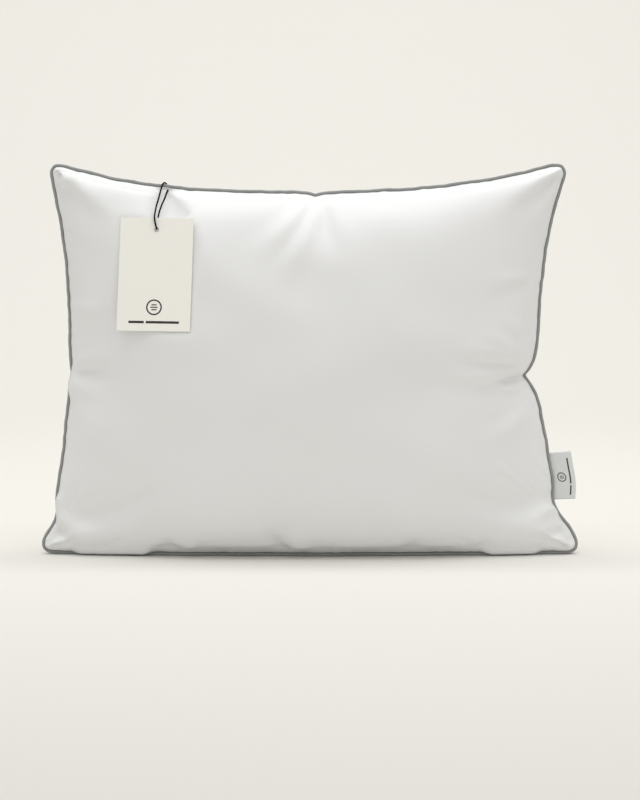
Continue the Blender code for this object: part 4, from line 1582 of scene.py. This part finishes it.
@dataclass
class SideLabel:
    """Folded satin ribbon sewn into the right-hand seam, behind the piping."""

    low: float = 0.0670
    long: float = 0.0580
    out: float = 0.0295
    cloth: float = 0.00022
    gap: float = 0.0002
    steps: int = 24
    slant: tuple[float, float] = (0.0026, 0.0060)
    ink: float = 0.00005
    ink_sink: float = 0.00002

    def middle(self) -> np.ndarray:
        """Path of the ribbon's middle, as u and w from the piping's centre."""
        return np.array([
            (0.0066, -0.001175), (0.0036, -0.001175), (0.0017, -0.0024), (0.0, -0.0029),
            (-0.0040, -0.0026), (-0.0120, -0.0020), (-0.0205, -0.0014), (-0.0289, -0.0012),
        ])

    def build(self, ring: Ring, finish: bpy.types.Material) -> bpy.types.Object:
        """The ribbon with its fold at the outside.

        Args:
            ring: seam stations.
            finish: satin material.

        Returns:
            The closed ribbon.
        """
        line = catmull(self.middle(), 4, closed=False)
        ahead = np.gradient(line, axis=0)
        normal = unit(np.stack([ahead[:, 1], -ahead[:, 0]], axis=1))
        outer = self.cloth + self.gap / 2
        inner = self.gap / 2
        side_a = line + outer * normal
        side_b = line - outer * normal
        hole_a = line + inner * normal
        hole_b = line - inner * normal
        if side_a[-1][1] < side_b[-1][1]:
            side_a, side_b, hole_a, hole_b = side_b, side_a, hole_b, hole_a
        turn_out = sorted(([float(p[0]), float(p[1])] for p in self.fold(line[-1], outer)),
                          key=lambda p: -p[1])
        turn_in = sorted(([float(p[0]), float(p[1])] for p in self.fold(line[-1], inner)),
                         key=lambda p: p[1])
        section = np.array([*side_a, *turn_out, *side_b[::-1], *hole_b, *turn_in,
                            *hole_a[::-1]])
        heights = np.linspace(self.low, self.low + self.long, self.steps + 1)
        stack = np.stack([self.spots(ring, float(z), section[:, 0], section[:, 1])
                          for z in heights])
        lines = [stack[:, k] for k in range(stack.shape[1])]
        return swept("satin_label", lines, False, finish, (self.long, 2.2 * self.out))

    def spots(self, ring: Ring, z: float, u: np.ndarray, w: np.ndarray) -> np.ndarray:
        """World places on the ribbon, with its soft ripple and slanting ends.

        Args:
            ring: seam stations.
            z: height of the seam where this row starts.
            u: metres inward of the piping's centre, below zero outside it.
            w: metres towards the front.

        Returns:
            One row for each u.
        """
        right = (ring.centre[:, 0] > 0.2) & (ring.centre[:, 2] > 0.02)
        right &= ring.centre[:, 2] < 0.4
        order = np.argsort(ring.centre[right][:, 2])
        heights = ring.centre[right][order][:, 2]
        pick = [np.interp(z, heights, part[right][order][:, k])
                for part in (ring.centre, ring.inward, ring.front) for k in range(3)]
        centre, inward, front = (np.array(pick[n:n + 3]) for n in (0, 3, 6))
        q = (z - self.low) / self.long
        out = np.clip(-np.asarray(u, float) / self.out, 0, 1)
        ripple = 0.0005 * math.sin(2.3 * math.pi * q + 0.6) * out ** 1.5
        made = centre + np.outer(u, inward) + np.outer(np.asarray(w, float) + ripple, front)
        made[:, 2] -= (self.slant[0] + (self.slant[1] - self.slant[0]) * (1 - q)) * out
        return made

    def front_w(self, u: np.ndarray) -> np.ndarray:
        """How far the ribbon's front face is from the seam's middle plane."""
        line = catmull(self.middle(), 4, closed=False)
        return np.interp(-np.asarray(u, float), -line[:, 0], line[:, 1]) + (
            self.cloth + self.gap / 2)

    def band(self, name: str, ring: Ring, edges: tuple[list, list], closed: bool,
             finish: bpy.types.Material) -> bpy.types.Object:
        """Printed band on the ribbon's front, between two lines of equal length.

        Args:
            name: object name.
            ring: seam stations.
            edges: both lines, each as (height, u) points.
            closed: whether the lines come back to their starts.
            finish: ink.

        Returns:
            The closed band.
        """
        points = []
        for line in edges:
            for level in (-self.ink_sink, self.ink):
                for z, u in line:
                    spot = np.array([u])
                    points.append(self.spots(ring, z, spot, self.front_w(spot) + level)[0])
        count = len(edges[0])
        low_a, high_a, low_b, high_b = (k * count for k in range(4))
        faces = []
        for k in range(count if closed else count - 1):
            m = (k + 1) % count
            for a, b in ((low_a, high_a), (high_a, high_b), (high_b, low_b), (low_b, low_a)):
                faces.append((a + k, a + m, b + m, b + k))
        if not closed:
            for k in (0, count - 1):
                faces.append((low_a + k, high_a + k, high_b + k, low_b + k))
        obj = mesh_object(name, np.array(points), faces, finish, False)
        face_out(obj)
        return obj

    def marks(self, ring: Ring, ink: bpy.types.Material) -> list[bpy.types.Object]:
        """Plain printed ring and bars, turned to run along the seam."""
        middle_z, middle_u = self.low + 0.0285, -0.0122
        turns = np.linspace(0, 2 * math.pi, 40, endpoint=False)
        hoops = tuple([(middle_z + r * math.cos(a), middle_u + r * math.sin(a)) for a in turns]
                      for r in (0.0056, 0.0044))
        made = [self.band("label_ring", ring, hoops, True, ink)]
        for number, (start, long, u, wide) in enumerate((
            (middle_z - 0.0026, 0.0052, middle_u, 0.0009),
            (middle_z - 0.0018, 0.0036, middle_u - 0.0018, 0.0009),
            (middle_z - 0.0018, 0.0036, middle_u + 0.0018, 0.0009),
            (self.low + 0.0065, 0.0130, -0.0228, 0.0019),
            (self.low + 0.0215, 0.0290, -0.0228, 0.0019),
        )):
            run = np.linspace(start, start + long, 12)
            sides = tuple([(float(z), u + way * wide / 2) for z in run] for way in (-1, 1))
            made.append(self.band(f"label_bar_{number + 1}", ring, sides, False, ink))
        return made

    @staticmethod
    def fold(end: np.ndarray, radius: float) -> list[np.ndarray]:
        """Points of the half-round fold beyond the ribbon's end."""
        return [end + radius * np.array([-math.sin(a), math.cos(a)])
                for a in (0.25 * math.pi, 0.5 * math.pi, 0.75 * math.pi)]


# ------------------------------------------------------------------ tag and string


@dataclass
class HangTag:
    """Card with a punched hole, and a plain printed ring and bars."""

    wide: float = 0.0910
    tall: float = 0.1410
    thick: float = 0.0006
    hole: float = 0.0030
    drop: float = 0.0150
    at: tuple[float, float, float] = (-0.1870, -0.0454, 0.4040)
    tilt: float = -0.5
    pitch: float = 14.0
    yaw: float = 8.0
    ink: float = 0.00008

    def axes(self) -> tuple[Vector, Vector, Vector]:
        """Right, down and front directions of the card."""
        tilt, pitch, yaw = (math.radians(a) for a in (self.tilt, self.pitch, self.yaw))
        right = Vector((math.cos(yaw), -math.sin(yaw), 0.0))
        down = Vector((0.0, -math.sin(pitch), -math.cos(pitch)))
        front = down.cross(right).normalized()
        if front.y > 0:
            front = -front
        down = front.cross(right).normalized()
        if down.z > 0:
            down = -down
        turned = right * math.cos(tilt) - down * math.sin(tilt)
        return turned, down * math.cos(tilt) - right * math.sin(tilt), front

    def spot(self, x: float, y: float, out: float = 0.0) -> Vector:
        """World place of a point on the card, x right and y down from the hole."""
        right, down, front = self.axes()
        return Vector(self.at) + right * x + down * y + front * out

    def plate(self, name: str, outline: list[tuple[float, float]], low: float, high: float,
              finish: bpy.types.Material,
              eye: list[tuple[float, float]] | None = None) -> bpy.types.Object:
        """Thin plate with an outline and maybe a hole with as many points.

        Args:
            name: object name.
            outline: points in the card's plane.
            low: back face above the card's middle plane.
            high: front face.
            finish: material.
            eye: inner outline.

        Returns:
            The plate.
        """
        loops = [outline] + ([eye] if eye else [])
        points, ids = [], []
        for loop in loops:
            for level in (low, high):
                ids.append(list(range(len(points), len(points) + len(loop))))
                points += [self.spot(x, y, level) for x, y in loop]
        faces = []
        count = len(outline)
        for k in range(count):
            m = (k + 1) % count
            faces.append((ids[0][k], ids[0][m], ids[1][m], ids[1][k]))
            if eye:
                faces.append((ids[2][k], ids[3][k], ids[3][m], ids[2][m]))
                faces.append((ids[1][k], ids[1][m], ids[3][m], ids[3][k]))
                faces.append((ids[0][m], ids[0][k], ids[2][k], ids[2][m]))
        if not eye:
            faces += [tuple(ids[0][::-1]), tuple(ids[1])]
        obj = mesh_object(name, np.array([list(p) for p in points]), faces, finish, False)
        face_out(obj)
        return obj

    @staticmethod
    def circle(x: float, y: float, radius: float, count: int) -> list[tuple[float, float]]:
        """Points of a circle in the card's plane."""
        turns = [2 * math.pi * k / count for k in range(count)]
        return [(x + radius * math.cos(a), y + radius * math.sin(a)) for a in turns]

    def build(self, card: bpy.types.Material,
              ink: bpy.types.Material) -> tuple[bpy.types.Object, list[bpy.types.Object]]:
        """Card and its print.

        Args:
            card: card material.
            ink: ink material.

        Returns:
            The card, and the printed pieces.
        """
        half = self.wide / 2
        top, low = -self.drop, self.tall - self.drop
        count = 64
        corner = 0.0006
        rim = []
        for a in np.linspace(0, 2 * math.pi, count, endpoint=False):
            dx, dy = math.cos(a), math.sin(a)
            reach = min(half / abs(dx) if dx else 1e9,
                        (low if dy > 0 else -top) / abs(dy) if dy else 1e9)
            rim.append((dx * reach, dy * reach))
        for cx, cy in ((half, top), (half, low), (-half, low), (-half, top)):
            k = min(range(count), key=lambda n: (rim[n][0] - cx) ** 2 + (rim[n][1] - cy) ** 2)
            rim[k] = (cx - math.copysign(corner / 3, cx), cy - math.copysign(corner / 3, cy))
        eye = self.circle(0.0, 0.0, self.hole, count)
        plate = self.plate("swing_card", rim, -self.thick / 2, self.thick / 2, card, eye)
        edge = plate.modifiers.new("soft_edge", "BEVEL")
        edge.width = 0.00012
        edge.segments = 2
        edge.limit_method = "ANGLE"
        ink_sink, ring_y, ring_count = 0.00002, 0.0965, 48
        base = self.thick / 2 - ink_sink
        outer, inner = (self.circle(0.0, ring_y, radius, ring_count)
                        for radius in (0.0098, 0.0080))
        marks = [self.plate("printed_ring", outer, base, base + self.ink, ink, inner)]
        for number, (x, y, wide, tall) in enumerate((
            (0.0, ring_y, 0.0090, 0.0014), (0.0, ring_y - 0.0030, 0.0064, 0.0014),
            (0.0, ring_y + 0.0030, 0.0064, 0.0014), (-0.0215, 0.1150, 0.0190, 0.0030),
            (0.0110, 0.1150, 0.0410, 0.0030),
        )):
            box = [(x - wide / 2, y - tall / 2), (x + wide / 2, y - tall / 2),
                   (x + wide / 2, y + tall / 2), (x - wide / 2, y + tall / 2)]
            marks.append(self.plate(f"printed_bar_{number + 1}", box, base, base + self.ink,
                                    ink))
        return plate, marks


@dataclass
class TagString:
    """Three-ply waxed string from the card, over the piping and back."""

    radius: float = 0.00106
    plies: int = 3
    turns: float = 260.0
    sides: int = 15
    lobe_depth: float = 0.13
    lobe_middle: float = 0.93
    route: tuple[tuple[float, float, float], ...] = (
        (-0.1870, -0.0434, 0.4062), (-0.1870, -0.0455, 0.4052), (-0.1872, -0.0472, 0.4059),
        (-0.1882, -0.0470, 0.4095), (-0.1892, -0.0456, 0.4135), (-0.1898, -0.0436, 0.4205),
        (-0.1882, -0.0350, 0.4320), (-0.1856, -0.0254, 0.4430), (-0.1840, -0.0140, 0.4520),
        (-0.1818, -0.0034, 0.4600), (-0.1794, 0.0002, 0.4611), (-0.1778, 0.0036, 0.4590),
        (-0.1766, 0.0056, 0.4552), (-0.1760, 0.0058, 0.4528), (-0.1758, 0.0036, 0.4516),
        (-0.1757, -0.0030, 0.4516), (-0.1756, -0.0085, 0.4520), (-0.1758, -0.0128, 0.4512),
        (-0.1768, -0.0186, 0.4476), (-0.1786, -0.0258, 0.4415), (-0.1816, -0.0308, 0.4345),
        (-0.1840, -0.0348, 0.4270), (-0.1854, -0.0385, 0.4210), (-0.1864, -0.0404, 0.4140),
        (-0.1869, -0.0418, 0.4098),
    )

    def centre_line(self) -> np.ndarray:
        """Even points of the string's middle."""
        return even_line(np.array(self.route), 0.0005)

    def build(self, finish: bpy.types.Material) -> tuple[bpy.types.Object, np.ndarray]:
        """Twisted string.

        Args:
            finish: its material.

        Returns:
            The string and the points that its middle follows.
        """
        path = self.centre_line()
        tangent = unit(np.gradient(path, axis=0))
        normal = np.empty_like(path)
        normal[0] = unit(np.cross(tangent[0], [1.0, 0.0, 0.0]))
        for k in range(1, len(path)):
            kept = normal[k - 1] - tangent[k] * (normal[k - 1] @ tangent[k])
            normal[k] = unit(kept)
        side = np.cross(tangent, normal)
        run = np.r_[0.0, np.cumsum(np.linalg.norm(np.diff(path, axis=0), axis=1))]
        lead = 2 * math.pi * self.turns / self.plies
        rings = []
        for a in np.linspace(0, 2 * math.pi, self.sides, endpoint=False):
            lobe = 1 + self.lobe_depth * np.cos(self.plies * (a - lead * run))
            r = self.radius * self.lobe_middle * lobe
            rings.append(path + (r * np.cos(a))[:, None] * normal
                         + (r * np.sin(a))[:, None] * side)
        obj = swept("black_tag_string", rings, False, finish, (float(run[-1]), 1.0))
        return obj, path


# ------------------------------------------------------------------ studio


@dataclass
class Studio:
    """Plain pale floor and backdrop, soft light, long lens."""

    distance: float = 3.0
    lift_angle: float = 5.0
    view_wide: float = 0.7935
    aim: tuple[float, float, float] = (0.0124, -0.02, 0.1930)
    film: float = 36.0
    air: float = 0.595

    def camera(self) -> None:
        """Near frontal camera a little above the pillow's middle."""
        data = bpy.data.cameras.new("view")
        data.sensor_fit = "HORIZONTAL"
        data.sensor_width = self.film
        data.lens = self.film * self.distance / self.view_wide
        data.clip_start = 0.05
        data.clip_end = 60.0
        obj = bpy.data.objects.new("view", data)
        angle = math.radians(self.lift_angle)
        aim = Vector(self.aim)
        obj.location = aim + self.distance * Vector((0.0, -math.cos(angle), math.sin(angle)))
        obj.rotation_euler = (aim - obj.location).to_track_quat("-Z", "Y").to_euler()
        bpy.context.scene.collection.objects.link(obj)
        bpy.context.scene.camera = obj

    @staticmethod
    def area(name: str, place: tuple[float, float, float], aim: tuple[float, float, float],
             size: tuple[float, float], power: float,
             colour: tuple[float, float, float] = (1.0, 1.0, 1.0)) -> None:
        """Rectangular soft light.

        Args:
            name: its name.
            place: where it is.
            aim: what it points at.
            size: width and height.
            power: watts.
            colour: its tint.
        """
        data = bpy.data.lights.new(name, "AREA")
        data.shape = "RECTANGLE"
        data.size, data.size_y = size
        data.energy = power
        data.color = colour
        obj = bpy.data.objects.new(name, data)
        obj.location = place
        obj.rotation_euler = (Vector(aim) - Vector(place)).to_track_quat("-Z", "Y").to_euler()
        bpy.context.scene.collection.objects.link(obj)

    def backdrop(self) -> bpy.types.Object:
        """Floor that curves up into a wall."""
        finish = Finish("studio_paper", (0.800, 0.785, 0.740), (0.7, 0.7, 0.7), 0.9)
        paper, _, _ = finish.start()
        wide, near, far, high, bend = 9.0, -4.5, 3.2, 6.0, 1.6
        profile = [(near, 0.0), (0.0, 0.0), (far - bend, 0.0)]
        for a in np.linspace(0, math.pi / 2, 16)[1:]:
            profile.append((far - bend + bend * math.sin(a), bend - bend * math.cos(a)))
        profile.append((far, high))
        points = [(x, y, z) for y, z in profile for x in (-wide, wide)]
        faces = [(2 * k, 2 * k + 1, 2 * k + 3, 2 * k + 2) for k in range(len(profile) - 1)]
        obj = mesh_object("studio_floor", np.array(points), faces, paper)
        return obj

    def build(self) -> None:
        """Camera, lights, world and floor."""
        self.camera()
        self.backdrop()
        scene = bpy.context.scene
        world = bpy.data.worlds.new("studio_air")
        world.use_nodes = True
        sky = world.node_tree.nodes["Background"]
        sky.inputs["Color"].default_value = (0.99, 0.985, 0.97, 1.0)
        sky.inputs["Strength"].default_value = self.air
        scene.world = world
        self.area("overhead", (0.0, -0.25, 2.4), (0.0, 0.0, 0.2), (2.4, 1.8), 25.0)
        self.area("wall_wash", (0.0, 0.6, 3.2), (0.0, 3.2, 0.9), (6.0, 1.4), 57.5)
        self.area("front_fill", (0.9, -3.2, 1.2), (0.0, 0.0, 0.2), (2.4, 1.6), 5.9)
        scene.view_settings.view_transform = "Standard"
        scene.view_settings.look = "None"


# ------------------------------------------------------------------ all together


def main() -> None:
    """Build every piece in order."""
    logging.basicConfig(level=logging.INFO, format="%(name)s: %(message)s", force=True)
    Studio().build()
    wardrobe = Wardrobe()
    line = SeamLine()
    grid = CutGrid()
    ring = grid.ring(line)

    string, path = TagString().build(wardrobe.string.build())
    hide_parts("tag_string")
    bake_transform(string)

    panels = Panels(line, grid)
    panels.inflate(ring)
    panels.crease()
    panels.roll_edges(ring)
    panels.clear_card(HangTag(), path)
    panels.settle()
    fill = panels.fill(wardrobe.fibre.build())
    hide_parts("fibre_fill")
    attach(fill, "casing")
    for face, finish, node in ((Face.FRONT, wardrobe.front, "front_panel"),
                               (Face.BACK, wardrobe.back, "back_panel")):
        cloth = panels.build(face, ring, finish.build())
        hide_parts(node)
        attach(cloth, "casing")
        LOG.info("%s: %d vertices", cloth.name, len(cloth.data.vertices))

    cover, core = Piping(line).build(ring, wardrobe.piping.build(), wardrobe.cord.build())
    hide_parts("piping_cover")
    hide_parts("piping_cord")
    for piece in (cover, core):
        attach(piece, "casing")
        LOG.info("%s: %d vertices", piece.name, len(piece.data.vertices))

    threads = {"needle": wardrobe.needle.build(), "bobbin": wardrobe.bobbin.build(),
               "overlock": wardrobe.overlock.build()}
    for piece, node in SeamThreads(line).build(ring, threads):
        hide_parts(node)
        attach(piece, "casing")
        LOG.info("%s: %d vertices", piece.name, len(piece.data.vertices))

    ribbon = SideLabel()
    label = ribbon.build(ring, wardrobe.label.build())
    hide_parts("side_label")
    for piece in (label, *ribbon.marks(ring, wardrobe.label_ink.build())):
        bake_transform(piece)
    LOG.info("label: %d vertices", len(label.data.vertices))

    card, marks = HangTag().build(wardrobe.card.build(), wardrobe.ink.build())
    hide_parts("hang_tag")
    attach(card, "tag")
    for mark in marks:
        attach(mark, "tag")
    LOG.info("card with %d printed marks", len(marks))


if __name__ == "__main__":
    main()
